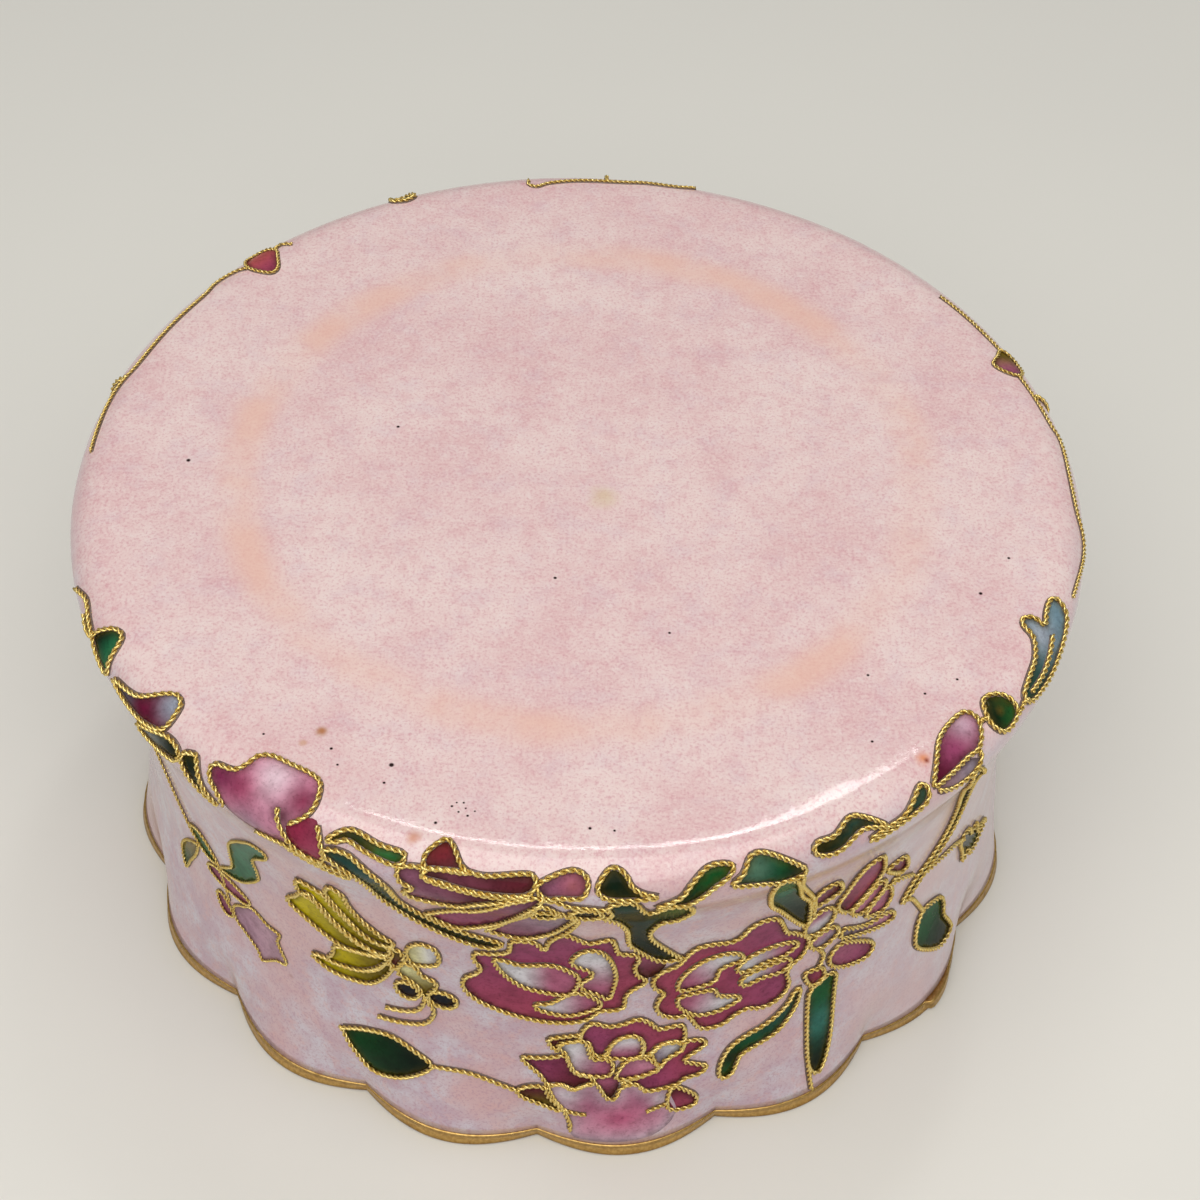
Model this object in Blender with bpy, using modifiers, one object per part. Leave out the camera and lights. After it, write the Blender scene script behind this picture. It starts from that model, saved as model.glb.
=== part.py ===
# Round cloisonne enamel box body, standing mouth down on its scalloped gilt rim.
# The enamelled copper shell, the gilt rim band and the wire outlines of the
# flowers, leaves and butterflies are separate pieces. Units are metres, +Z up.
import math

import bmesh
import bpy
from mathutils import Vector
from mathutils.geometry import delaunay_2d_cdt

MM = 0.001

# Overall sizes, in millimetres
BULGE_RADIUS = 50.0
HEIGHT = 48.6
EDGE_RADIUS = 3.3
SHOULDER = 3.0
SHOULDER_DROP = 0.12
DISC_FLAT = BULGE_RADIUS - EDGE_RADIUS - SHOULDER
WALL = 1.8
DISC_THICKNESS = 2.0
INNER_CORNER = 2.6

# Radii the side wall passes through on its way up from the rim to the bulge
WALL_HEIGHTS = [0.0, 4.0, 9.0, 15.0, 21.0, 28.0, 35.0, 40.0, HEIGHT - EDGE_RADIUS]
WALL_RADII = [48.6, 47.7, 46.9, 46.1, 45.9, 46.1, 47.0, 48.3, BULGE_RADIUS]
OUTER_RINGS = [43.2, 40.4, 36.6, 32.0, 26.5, 20.5, 15.0, 10.6, 7.0, 4.0]
INNER_RINGS = [8.0, 20.0, 35.0]
EDGE_STEPS = 3

# Scalloped mouth
LOBES = 16
LOBE_TURN = math.radians(7.6)
LOBE_DEPTH = 2.5
LOBE_REACH = 10.0
STEPS_PER_LOBE = 6

# Gilt rim band
RIM_HEIGHT = 1.4
RIM_PROUD = 0.15
RIM_WIDTH = 1.7
RIM_GAP = 0.1

# Wires laid on the wall, drawn on the wall unrolled flat at this radius
UNROLL_RADIUS = 47.0
WIRE_WIDTH = 0.6
WIRE_PROUD = 0.45
WIRE_GAP = 0.17
WIRE_STEP = 3.8
WIRE_STEP_EDGE = 1.5
EDGE_ZONE = (45.0, 52.0)


def remove_everything():
    for item in list(bpy.data.objects):
        bpy.data.objects.remove(item, do_unlink=True)


def make_collection(name):
    collection = bpy.data.collections.new(name)
    bpy.context.scene.collection.children.link(collection)
    return collection


def make_material(name, color, metallic, roughness):
    material = bpy.data.materials.new(name)
    material.use_nodes = True
    shader = material.node_tree.nodes["Principled BSDF"]
    shader.inputs["Base Color"].default_value = (color[0], color[1], color[2], 1.0)
    shader.inputs["Metallic"].default_value = metallic
    shader.inputs["Roughness"].default_value = roughness
    return material


def wall_slope(index):
    """Slope of the wall curve at one of its given heights; level at the bulge."""
    last = len(WALL_HEIGHTS) - 1
    if index == last:
        return 0.0
    low = max(index - 1, 0)
    high = index + 1
    return (WALL_RADII[high] - WALL_RADII[low]) / (WALL_HEIGHTS[high] - WALL_HEIGHTS[low])


def wall_radius(z):
    """Outer radius of the side wall at height z, without the scallops."""
    i = 0
    while i < len(WALL_HEIGHTS) - 2 and z > WALL_HEIGHTS[i + 1]:
        i += 1
    span = WALL_HEIGHTS[i + 1] - WALL_HEIGHTS[i]
    t = (z - WALL_HEIGHTS[i]) / span
    a = (2 * t ** 3 - 3 * t ** 2 + 1) * WALL_RADII[i]
    b = (t ** 3 - 2 * t ** 2 + t) * span * wall_slope(i)
    c = (3 * t ** 2 - 2 * t ** 3) * WALL_RADII[i + 1]
    d = (t ** 3 - t ** 2) * span * wall_slope(i + 1)
    return a + b + c + d


def scallop(angle, z):
    """How far the wall is pressed inward at this angle; fades out up the wall."""
    fade = max(0.0, 1.0 - z / LOBE_REACH) ** 1.5
    wave = abs(math.cos(LOBES * (angle - LOBE_TURN) / 2.0))
    return -LOBE_DEPTH * fade * (1.0 - wave)


def edge_point(turn):
    """Point (r, z) on the rounded edge, from the bulge at 0 to the disc at a right angle."""
    r = BULGE_RADIUS - EDGE_RADIUS + EDGE_RADIUS * math.cos(turn)
    return r, HEIGHT - EDGE_RADIUS + (EDGE_RADIUS - SHOULDER_DROP) * math.sin(turn)


def outer_path():
    """Outer outline from the mouth up the wall and over the edge on to the disc."""
    centre_z = HEIGHT - EDGE_RADIUS
    path = []
    count = 240
    for i in range(count):
        z = centre_z * i / count
        path.append((wall_radius(z), z))
    for i in range(25):
        path.append(edge_point(math.pi / 2 * i / 24))
    path.append((DISC_FLAT, HEIGHT))
    path.append((20.0, HEIGHT))
    return path


OUTER_PATH = outer_path()
OUTER_LENGTHS = [0.0]
for first, second in zip(OUTER_PATH, OUTER_PATH[1:]):
    OUTER_LENGTHS.append(OUTER_LENGTHS[-1] + math.dist(first, second))


def surface_point(u, v, lift):
    """Point on the outside: u along the wall from the front, v up from the mouth."""
    angle = u / UNROLL_RADIUS - math.pi / 2
    i = 0
    while i < len(OUTER_LENGTHS) - 2 and v > OUTER_LENGTHS[i + 1]:
        i += 1
    t = (v - OUTER_LENGTHS[i]) / (OUTER_LENGTHS[i + 1] - OUTER_LENGTHS[i])
    (r0, z0), (r1, z1) = OUTER_PATH[i], OUTER_PATH[i + 1]
    length = math.dist((r0, z0), (r1, z1))
    z = z0 + (z1 - z0) * t
    r = r0 + (r1 - r0) * t + scallop(angle, z)
    r += lift * (z1 - z0) / length
    z += lift * (r0 - r1) / length
    return Vector((r * math.cos(angle), r * math.sin(angle), z)) * MM


def finish_object(name, mesh, collection, material):
    mesh.name = name
    item = bpy.data.objects.new(name, mesh)
    collection.objects.link(item)
    mesh.materials.clear()
    mesh.materials.append(material)
    return item


def spin_profile(name, points, closed, collection, material):
    """Turn a profile standing in the XZ plane once about +Z and press in the scallops."""
    mesh = bpy.data.meshes.new(name + "_profile")
    edges = [(i, i + 1) for i in range(len(points) - 1)]
    if closed:
        edges.append((len(points) - 1, 0))
    mesh.from_pydata([(r * MM, 0.0, z * MM) for r, z in points], edges, [])
    blank = bpy.data.objects.new(name + "_profile", mesh)
    collection.objects.link(blank)
    screw = blank.modifiers.new("turn", "SCREW")
    screw.axis = "Z"
    screw.angle = 2 * math.pi
    screw.steps = LOBES * STEPS_PER_LOBE
    screw.render_steps = LOBES * STEPS_PER_LOBE
    screw.use_merge_vertices = True
    screw.merge_threshold = 0.00001
    screw.use_smooth_shade = False
    bpy.context.view_layer.update()
    shape = bpy.data.meshes.new_from_object(blank.evaluated_get(bpy.context.evaluated_depsgraph_get()))
    bpy.data.objects.remove(blank, do_unlink=True)
    work = bmesh.new()
    work.from_mesh(shape)
    bmesh.ops.remove_doubles(work, verts=work.verts, dist=0.000005)
    for vert in work.verts:
        r = math.hypot(vert.co.x, vert.co.y) / MM
        if r < 0.5:
            continue
        angle = math.atan2(vert.co.y, vert.co.x) + LOBE_TURN
        r += scallop(angle, vert.co.z / MM)
        vert.co.x = r * MM * math.cos(angle)
        vert.co.y = r * MM * math.sin(angle)
    bmesh.ops.recalc_face_normals(work, faces=work.faces)
    work.to_mesh(shape)
    work.free()
    return finish_object(name, shape, collection, material)


def box_profile():
    """Closed shell: disc, rounded edge, side wall, open mouth, then back up inside."""
    foot = RIM_HEIGHT + RIM_GAP
    points = [(0.0, HEIGHT), (DISC_FLAT, HEIGHT)]
    for i in range(EDGE_STEPS + 1):
        points.append(edge_point(math.pi / 2 * (1 - i / EDGE_STEPS)))
    for z in OUTER_RINGS + [foot]:
        points.append((wall_radius(z), z))
    for z in [foot] + INNER_RINGS:
        points.append((wall_radius(z) - WALL, z))
    ceiling = HEIGHT - DISC_THICKNESS
    inside = wall_radius(ceiling - INNER_CORNER) - WALL
    points.append((inside, ceiling - INNER_CORNER))
    points.append((inside - INNER_CORNER * 0.3, ceiling - INNER_CORNER * 0.3))
    points.append((inside - INNER_CORNER, ceiling))
    points.append((0.0, ceiling))
    return points


def rim_profile():
    """Gilt band under the wall, a little proud of it outside."""
    points = []
    for z in (RIM_HEIGHT, 0.0):
        points.append((wall_radius(z) + RIM_PROUD, z))
    for z in (0.0, RIM_HEIGHT):
        points.append((wall_radius(z) + RIM_PROUD - RIM_WIDTH, z))
    return points


def ring(*points):
    """Closed outline."""
    return (list(points), True)


def path(*points):
    """Open wire."""
    return (list(points), False)


def along(spine, t):
    """Point at t on a smooth curve through three or four given points."""
    scaled = t * (len(spine) - 1)
    i = min(int(scaled), len(spine) - 2)
    f = scaled - i
    before = spine[max(i - 1, 0)]
    after = spine[min(i + 2, len(spine) - 1)]
    result = []
    for k in (0, 1):
        p0, p1, p2, p3 = before[k], spine[i][k], spine[i + 1][k], after[k]
        linear = (p2 - p0) * f
        square = (2 * p0 - 5 * p1 + 4 * p2 - p3) * f * f
        cube = (3 * p1 - p0 - 3 * p2 + p3) * f ** 3
        result.append(0.5 * (2 * p1 + linear + square + cube))
    return tuple(result)


def blade(spine, width, belly=1.0, full=0.8, count=4):
    """Leaf or petal outline round a curved spine, widest where belly puts it."""
    left = []
    right = []
    for i in range(1, count):
        t = i / count
        x, y = along(spine, t)
        x0, y0 = along(spine, max(t - 0.02, 0.0))
        x1, y1 = along(spine, min(t + 0.02, 1.0))
        length = math.hypot(x1 - x0, y1 - y0)
        half = width / 2 * math.sin(math.pi * t ** belly) ** full
        left.append((x - (y1 - y0) / length * half, y + (x1 - x0) / length * half))
        right.append((x + (y1 - y0) / length * half, y - (x1 - x0) / length * half))
    return ([spine[0]] + left + [spine[-1]] + right[::-1], True)


def oval(u, v, width, height, count=6, turn=0.0):
    """Small round cell."""
    points = []
    for i in range(count):
        a = 2 * math.pi * i / count + turn
        points.append((u + width / 2 * math.cos(a), v + height / 2 * math.sin(a)))
    return (points, True)


def shifted(wires, du, mirror=False, dv=0.0):
    """The same wires further round the wall, or turned left for right."""
    sign = -1.0 if mirror else 1.0
    return [([(sign * u + du, v + dv) for u, v in pts], closed) for pts, closed in wires]


def peony_left():
    outer = ring(
        (-5.6, 33.0), (-4.7, 35.8), (-3.0, 35.6), (-2.2, 34.3), (-0.7, 37.8),
        (1.4, 36.0), (3.5, 36.5), (4.3, 33.6), (6.1, 32.7), (6.1, 29.6),
        (7.3, 27.6), (5.4, 25.3), (4.9, 23.0), (3.0, 22.9), (1.0, 21.2),
        (-2.4, 21.0), (-6.0, 21.9), (-9.0, 23.4), (-10.1, 25.6), (-8.5, 28.4),
        (-8.9, 31.3), (-7.4, 32.5))
    left_petal = blade([(-8.1, 31.9), (-3.0, 28.6), (2.1, 27.4)], 4.4, 0.9, 0.6)
    right_petal = blade([(1.9, 34.4), (2.6, 30.6), (3.7, 25.2)], 3.4, 0.9, 0.6)
    return [outer, left_petal, right_petal]


def peony_right():
    outer = ring(
        (7.9, 27.5), (10.1, 29.8), (11.5, 32.4), (14.8, 32.2), (16.6, 34.2),
        (19.0, 34.4), (20.4, 31.4), (22.6, 29.0), (23.9, 26.2), (22.0, 23.4),
        (22.1, 20.2), (20.0, 18.2), (17.6, 18.8), (14.6, 17.4), (12.4, 18.6),
        (9.4, 20.8), (8.4, 23.0), (9.0, 25.2))
    upper_petal = blade([(9.2, 25.0), (12.2, 28.0), (16.6, 28.6)], 3.4, 0.9, 0.6)
    lower_petal = blade([(9.2, 24.6), (12.8, 21.9), (16.8, 21.3)], 3.6, 1.0, 0.6)
    long_petal = blade([(16.3, 26.5), (19.6, 27.3), (23.4, 27.4)], 2.3, 0.9, 0.5)
    return [outer, upper_petal, lower_petal, long_petal]


def rose():
    band = ring(
        (1.2, 18.0), (2.3, 20.8), (4.4, 20.1), (6.6, 21.0), (8.6, 19.1),
        (11.2, 18.8), (11.4, 16.1), (9.0, 16.1), (7.3, 14.9), (5.4, 18.1),
        (3.6, 15.4), (2.1, 17.0), (-0.7, 17.4), (-0.2, 15.0), (0.9, 12.8),
        (-1.9, 10.9), (-4.5, 14.4), (-1.3, 15.2), (-1.9, 17.8))
    right_petal = ring(
        (5.2, 11.3), (8.8, 12.5), (11.5, 15.7), (13.5, 15.2), (11.6, 13.2),
        (13.8, 11.4), (10.6, 9.8), (7.8, 9.5))
    base = path((-1.9, 10.9), (-1.2, 8.4), (-0.3, 6.2), (0.3, 3.4))
    left_sepal = ring((-4.9, 9.6), (-2.3, 10.4), (-1.0, 7.2), (-3.0, 7.6))
    right_sepal = ring((10.6, 9.8), (12.3, 8.0), (12.7, 5.6), (10.1, 6.0), (9.8, 8.0))
    notch = path((0.9, 10.4), (2.8, 10.9), (4.2, 8.7), (5.2, 11.3))
    return [band, right_petal, base, left_sepal, right_sepal, notch]


def low_leaf():
    leaf = blade([(-23.3, 11.3), (-18.6, 10.0), (-13.5, 10.8)], 6.6, 0.9, 0.8)
    return [leaf, path((-13.5, 10.8), (-9.5, 11.1), (-4.9, 9.6))]


def middle_stem():
    return [
        path((9.0, 31.0), (6.2, 33.1), (5.2, 36.6), (4.7, 39.8), (3.1, 42.6), (3.0, 46.4),
             (5.2, 46.4), (6.3, 44.8), (8.0, 45.7), (9.8, 44.4), (9.6, 41.6), (7.6, 40.2),
             (7.2, 37.4), (8.0, 34.2), (10.0, 31.0)),
        path((3.0, 46.4), (2.4, 48.2), (3.6, 49.4), (5.0, 47.6), (6.8, 47.0), (6.3, 44.8)),
        path((8.0, 45.7), (9.2, 47.0), (10.6, 48.6), (13.0, 48.6), (11.0, 46.6), (9.8, 44.4)),
    ]


def right_stem():
    return [
        ring((13.2, 46.7), (15.6, 49.3), (17.6, 48.0), (19.4, 46.2), (18.5, 43.4),
             (19.4, 39.6), (22.2, 35.2), (22.5, 31.6), (22.0, 29.4), (20.9, 32.4),
             (19.4, 35.2), (17.4, 38.4), (16.9, 42.6), (17.0, 45.4)),
        path((19.4, 46.2), (19.9, 41.6), (22.6, 36.2)),
    ]


def left_stem():
    return [ring(
        (-20.7, 46.4), (-18.0, 47.3), (-15.6, 45.2), (-15.0, 40.6), (-12.6, 37.6),
        (-9.4, 36.0), (-6.5, 35.2), (-6.5, 33.2), (-9.6, 33.0), (-13.4, 35.0),
        (-16.6, 38.2), (-18.2, 42.4))]


def crown_petals():
    """Petals and buds that crown the left peony and lap over the edge."""
    return [
        ring((-13.9, 47.0), (-12.0, 48.0), (-11.7, 50.0), (-10.6, 50.8), (-9.2, 49.2),
             (-6.0, 48.7), (-3.3, 49.0), (-3.1, 47.0), (-6.0, 45.9), (-9.0, 44.4), (-13.4, 44.2)),
        blade([(-2.9, 47.0), (-7.2, 42.6), (-12.7, 38.0)], 5.4, 1.1, 0.8),
        path((-2.9, 47.0), (0.2, 44.6), (-0.9, 39.6), (-0.7, 37.8)),
    ]


def side_flower():
    """Flower to the right of the peonies with petals reaching up and down."""
    return [
        ring((23.2, 33.2), (23.0, 36.2), (24.4, 38.2), (26.0, 35.2), (26.9, 33.8),
             (27.8, 37.0), (29.5, 38.3), (30.8, 35.2), (31.8, 32.6), (34.8, 30.2),
             (37.8, 26.6), (35.2, 23.8), (34.4, 21.6), (31.4, 21.6), (32.7, 18.8),
             (30.6, 18.1), (28.0, 20.4), (25.8, 23.2), (24.4, 26.8), (23.1, 30.2)),
        blade([(25.4, 33.4), (26.0, 30.0), (24.8, 27.0)], 3.2, 1.0, 0.6),
        blade([(31.0, 26.2), (34.0, 26.2), (37.8, 26.6)], 3.8, 0.8, 0.7),
    ]


def long_leaf():
    return [blade([(26.2, 18.6), (26.6, 12.0), (25.4, 2.2)], 3.0, 1.0, 0.5, 6)]


def curled_leaf():
    return [blade([(23.3, 18.8), (21.4, 14.4), (17.0, 12.6), (15.7, 8.8)], 2.5, 1.2, 0.7, 5)]


def butterfly():
    wing = ring(
        (-28.8, 28.6), (-26.6, 31.8), (-26.4, 34.2), (-23.4, 33.9), (-22.2, 36.7),
        (-20.9, 34.6), (-18.6, 30.8), (-16.3, 28.8), (-16.2, 26.0), (-18.6, 26.2),
        (-22.6, 25.3), (-26.6, 27.0))
    vein_low = path((-26.6, 31.8), (-22.4, 28.4), (-18.6, 26.2))
    vein_high = path((-23.4, 33.9), (-20.3, 29.6), (-16.3, 28.8))
    lower_wing = blade([(-26.6, 20.7), (-21.8, 22.4), (-17.6, 25.9)], 4.6, 1.0, 0.8)
    head = path((-16.2, 26.0), (-13.0, 24.6), (-13.6, 20.6), (-16.4, 18.2), (-18.5, 17.7))
    feeler = path((-13.6, 20.6), (-13.8, 17.6), (-19.3, 15.7))
    spot = oval(-13.9, 29.2, 3.6, 3.9, 7, 0.4)
    spot_wire = path((-16.2, 26.0), (-15.2, 27.8))
    left_eye = oval(-15.9, 22.0, 2.5, 2.6, 5)
    right_eye = oval(-12.2, 22.0, 2.9, 2.6, 5)
    neck = path((-16.2, 26.0), (-16.4, 24.2), (-15.2, 22.9))
    return [wing, vein_low, vein_high, lower_wing, head, feeler, spot, spot_wire,
            left_eye, right_eye, neck]


def left_bud():
    star = ring(
        (-38.6, 18.2), (-35.8, 20.8), (-31.0, 20.4), (-31.4, 18.4), (-30.4, 16.0),
        (-33.8, 13.7), (-36.2, 15.8))
    sheath = blade([(-42.4, 21.2), (-38.8, 21.6), (-35.2, 21.4)], 2.6, 1.0, 0.6)
    calyx = blade([(-46.0, 21.2), (-43.6, 23.8), (-40.0, 23.8)], 3.2)
    leaf = blade([(-39.4, 23.4), (-35.4, 26.6), (-34.6, 31.6), (-30.4, 35.6)], 3.8, 0.9, 0.8, 5)
    hanging = blade([(-44.6, 21.4), (-48.6, 19.0), (-48.4, 14.2)], 2.2)
    joint = path((-40.0, 23.8), (-39.0, 22.6), (-38.6, 18.2))
    return [star, sheath, calyx, leaf, hanging, joint]


def edge_petal():
    """Large petal, red petal and leaf lapping over the edge on the left."""
    return [
        ring((-32.8, 48.0), (-30.4, 49.9), (-29.6, 51.8), (-27.0, 52.1), (-24.0, 52.3),
             (-22.7, 50.6), (-23.6, 48.5), (-21.4, 48.2), (-20.9, 46.0), (-22.6, 44.2),
             (-25.4, 44.9), (-30.6, 43.9), (-31.5, 46.2)),
        path((-23.6, 48.5), (-25.1, 47.6), (-21.3, 45.0)),
    ]


def small_bud():
    return [ring((-1.6, 48.0), (-1.0, 49.0), (0.7, 49.3), (1.4, 48.3), (0.4, 47.6))]


def edge_spot_left():
    return [
        ring((-52.4, 47.4), (-51.8, 49.0), (-50.8, 50.4), (-49.4, 49.8), (-48.3, 47.4), (-50.4, 46.4)),
        path((-52.4, 47.4), (-55.1, 48.0), (-58.9, 47.2)),
    ]


def edge_leaf_left():
    return [ring((-19.6, 48.2), (-18.0, 49.4), (-15.2, 49.2), (-15.4, 48.2), (-17.8, 48.2))]


def edge_cells_left():
    return [
        ring((-46.4, 47.4), (-42.8, 49.0), (-40.8, 50.9), (-39.3, 49.8), (-39.2, 48.0),
             (-42.6, 46.8)),
        blade([(-42.6, 46.8), (-39.4, 46.9), (-36.4, 47.8)], 2.2),
        ring((-36.4, 47.8), (-35.0, 48.0), (-33.3, 46.2), (-34.6, 44.6), (-36.4, 44.8)),
    ]


def edge_bud_right():
    return [
        ring((32.6, 47.9), (34.8, 50.1), (37.4, 51.5), (39.9, 51.4), (40.3, 49.9),
             (38.4, 48.1), (35.2, 47.9)),
        oval(42.9, 49.2, 3.5, 3.5, 8, 0.2),
        path((40.3, 49.9), (41.3, 49.9)),
        path((38.4, 48.1), (37.2, 45.0), (40.6, 39.0), (43.0, 34.4), (41.0, 28.6), (39.0, 24.0)),
        path((32.6, 47.9), (31.4, 48.7), (29.6, 47.4), (28.4, 46.9)),
    ]


def edge_leaf_right():
    return [ring((20.3, 47.8), (21.4, 48.6), (25.0, 49.1), (27.0, 47.3), (24.3, 48.0), (22.2, 46.9))]


def edge_wave_right():
    return [ring((46.2, 48.3), (51.2, 49.7), (53.2, 51.8), (54.2, 50.2), (57.0, 50.0),
                 (54.0, 48.5), (50.0, 47.8))]


def right_leaves():
    return [
        blade([(40.8, 17.0), (42.0, 13.0), (47.4, 7.6)], 5.2, 0.8, 0.8, 5),
        path((40.8, 17.0), (38.4, 21.4), (39.0, 24.0), (45.6, 22.8)),
        blade([(45.6, 22.8), (49.6, 19.2), (56.6, 12.6)], 2.8, 1.0, 0.8, 5),
        blade([(39.0, 24.0), (43.4, 27.6), (45.6, 34.0)], 3.0, 0.9, 0.7),
    ]


def back_bouquet():
    """Plainer flower with two leaves, repeated round the unseen side."""
    flower = ring(
        (-8.0, 26.0), (-5.8, 31.4), (0.0, 34.6), (5.8, 31.4), (8.0, 26.4),
        (5.4, 21.4), (0.6, 20.2), (-5.6, 21.6))
    return [
        flower,
        blade([(-6.8, 28.6), (-2.0, 27.0), (1.8, 25.6)], 4.2, 1.0, 0.6, 3),
        path((0.6, 20.2), (2.6, 16.0), (0.4, 11.0)),
        blade([(0.4, 11.0), (-4.4, 9.2), (-10.0, 11.2)], 4.6, 1.0, 0.8, 3),
        blade([(2.6, 16.0), (8.0, 13.8), (12.0, 9.0)], 3.2),
        path((0.0, 34.6), (-1.2, 40.0), (-2.3, 49.4)),
    ]


def back_garland_left():
    """Stem along the edge behind, left of the front, ending in a bud that laps on the disc."""
    return [
        path((-75.4, 49.0), (-84.0, 48.9), (-88.5, 49.8), (-100.6, 49.8), (-106.5, 50.6)),
        ring((-106.5, 50.6), (-107.5, 53.3), (-108.8, 53.1), (-110.6, 50.4), (-109.8, 48.6), (-107.8, 48.8)),
        path((-110.6, 50.4), (-112.4, 50.9)),
    ]


def back_garland_right():
    """The like on the right, running on to the wave-shaped leaf at the side."""
    return [
        path((103.5, 50.2), (99.0, 49.9), (93.6, 49.6)),
        ring((93.6, 49.6), (91.5, 51.7), (89.9, 51.0), (89.4, 49.6), (91.4, 48.4)),
        path((89.4, 49.6), (85.8, 49.5), (82.5, 49.1), (78.0, 48.5), (74.8, 48.8), (70.3, 48.5),
             (66.5, 47.3), (61.9, 47.9), (59.4, 48.1)),
    ]


def back_garland_middle():
    """Stem along the edge straight behind, curled at one end."""
    return [
        path((154.0, 50.2), (153.8, 51.6), (151.8, 51.2), (148.5, 50.7), (143.5, 50.6),
             (137.3, 50.1), (135.4, 49.2)),
        path((145.3, 49.4), (145.2, 50.6)),
    ]


def edge_leaf_back():
    return [ring((-128.4, 49.8), (-127.2, 50.6), (-125.8, 49.8), (-126.4, 47.8), (-127.8, 47.8))]


def resampled(points, closed):
    """Shorter steps where the wire bends over the edge."""
    result = []
    count = len(points) if closed else len(points) - 1
    for i in range(count):
        a = points[i]
        b = points[(i + 1) % len(points)]
        low = min(a[1], b[1])
        high = max(a[1], b[1])
        crosses = high > EDGE_ZONE[0] and low < EDGE_ZONE[1]
        across = math.ceil(math.dist(a, b) / WIRE_STEP)
        up = math.ceil(abs(a[1] - b[1]) / WIRE_STEP_EDGE) if crosses else 1
        pieces = max(across, up, 1)
        for k in range(pieces):
            t = k / pieces
            result.append((a[0] + (b[0] - a[0]) * t, a[1] + (b[1] - a[1]) * t))
    if not closed:
        result.append(points[-1])
    return result


def strip(points, closed):
    """Both sides of a flat strip that follows the wire, mitred at its bends."""
    count = len(points)
    left = []
    right = []
    for i in range(count):
        before = points[i - 1] if closed or i > 0 else points[i]
        after = points[(i + 1) % count] if closed or i < count - 1 else points[i]
        here = Vector(points[i])
        arrive = (here - Vector(before))
        leave = (Vector(after) - here)
        if arrive.length == 0.0:
            arrive = leave
        if leave.length == 0.0:
            leave = arrive
        mean = arrive.normalized() + leave.normalized()
        if mean.length < 0.3:
            mean = leave
        mean.normalize()
        cosine = max(mean.dot(leave.normalized()), 0.6)
        side = Vector((-mean.y, mean.x)) * (WIRE_WIDTH / 2 / cosine)
        left.append(here + side)
        right.append(here - side)
    return left, right


def inside(point, triangle):
    """Whether a point of the plane lies in the triangle, whichever way it turns."""
    a, b, c = triangle
    first = (b - a).cross(point - a)
    second = (c - b).cross(point - b)
    third = (a - c).cross(point - c)
    return min(first, second, third) >= 0.0 or max(first, second, third) <= 0.0


def joined_strips(wires):
    """Triangles of the plane covered by the wires' strips, and their corners."""
    corners = []
    edges = []
    tiles = []
    for points, closed in wires:
        points = resampled(points, closed)
        left, right = strip(points, closed)
        start = len(corners)
        count = len(points)
        for a, b in zip(left, right):
            corners.extend([a, b])
        for i in range(count):
            edges.append((start + 2 * i, start + 2 * i + 1))
        for i in range(count if closed else count - 1):
            a = start + 2 * i
            b = start + 2 * ((i + 1) % count)
            edges.extend([(a, b), (a + 1, b + 1)])
            tiles.append((corners[a], corners[a + 1], corners[b + 1]))
            tiles.append((corners[a], corners[b + 1], corners[b]))
    verts, _, tris, _, _, _ = delaunay_2d_cdt(corners, edges, [], 0, 0.02, True)
    kept = []
    for tri in tris:
        middle = (verts[tri[0]] + verts[tri[1]] + verts[tri[2]]) / 3
        if any(inside(middle, tile) for tile in tiles):
            kept.append(tri)
    return verts, kept


def wire_net(name, wires, collection, material):
    """One body from wires that touch: flat strips joined in the plane, laid on the wall."""
    verts, kept = joined_strips(wires)
    used = sorted({i for tri in kept for i in tri})
    place = {old: new for new, old in enumerate(used)}
    mesh = bpy.data.meshes.new(name)
    flat = [(verts[i].x, verts[i].y, 0.0) for i in used]
    mesh.from_pydata(flat, [], [[place[i] for i in tri] for tri in kept])
    work = bmesh.new()
    work.from_mesh(mesh)
    plain = [vert for vert in work.verts if vert.co.y < EDGE_ZONE[0]]
    bmesh.ops.dissolve_limit(work, angle_limit=math.radians(3), verts=plain, edges=work.edges)
    bmesh.ops.triangulate(work, faces=work.faces)
    for vert in work.verts:
        vert.co = surface_point(vert.co.x, vert.co.y, WIRE_GAP)
    bmesh.ops.recalc_face_normals(work, faces=work.faces)
    outward = sum(face.normal.dot(face.calc_center_median()) for face in work.faces)
    if outward < 0.0:
        bmesh.ops.reverse_faces(work, faces=work.faces)
    work.to_mesh(mesh)
    work.free()
    item = finish_object(name, mesh, collection, material)
    solid = item.modifiers.new("thickness", "SOLIDIFY")
    solid.thickness = WIRE_PROUD * MM
    solid.offset = 1.0
    solid.use_even_offset = False
    bpy.context.view_layer.update()
    shape = bpy.data.meshes.new_from_object(item.evaluated_get(bpy.context.evaluated_depsgraph_get()))
    bpy.data.objects.remove(item, do_unlink=True)
    return finish_object(name, shape, collection, material)


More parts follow.
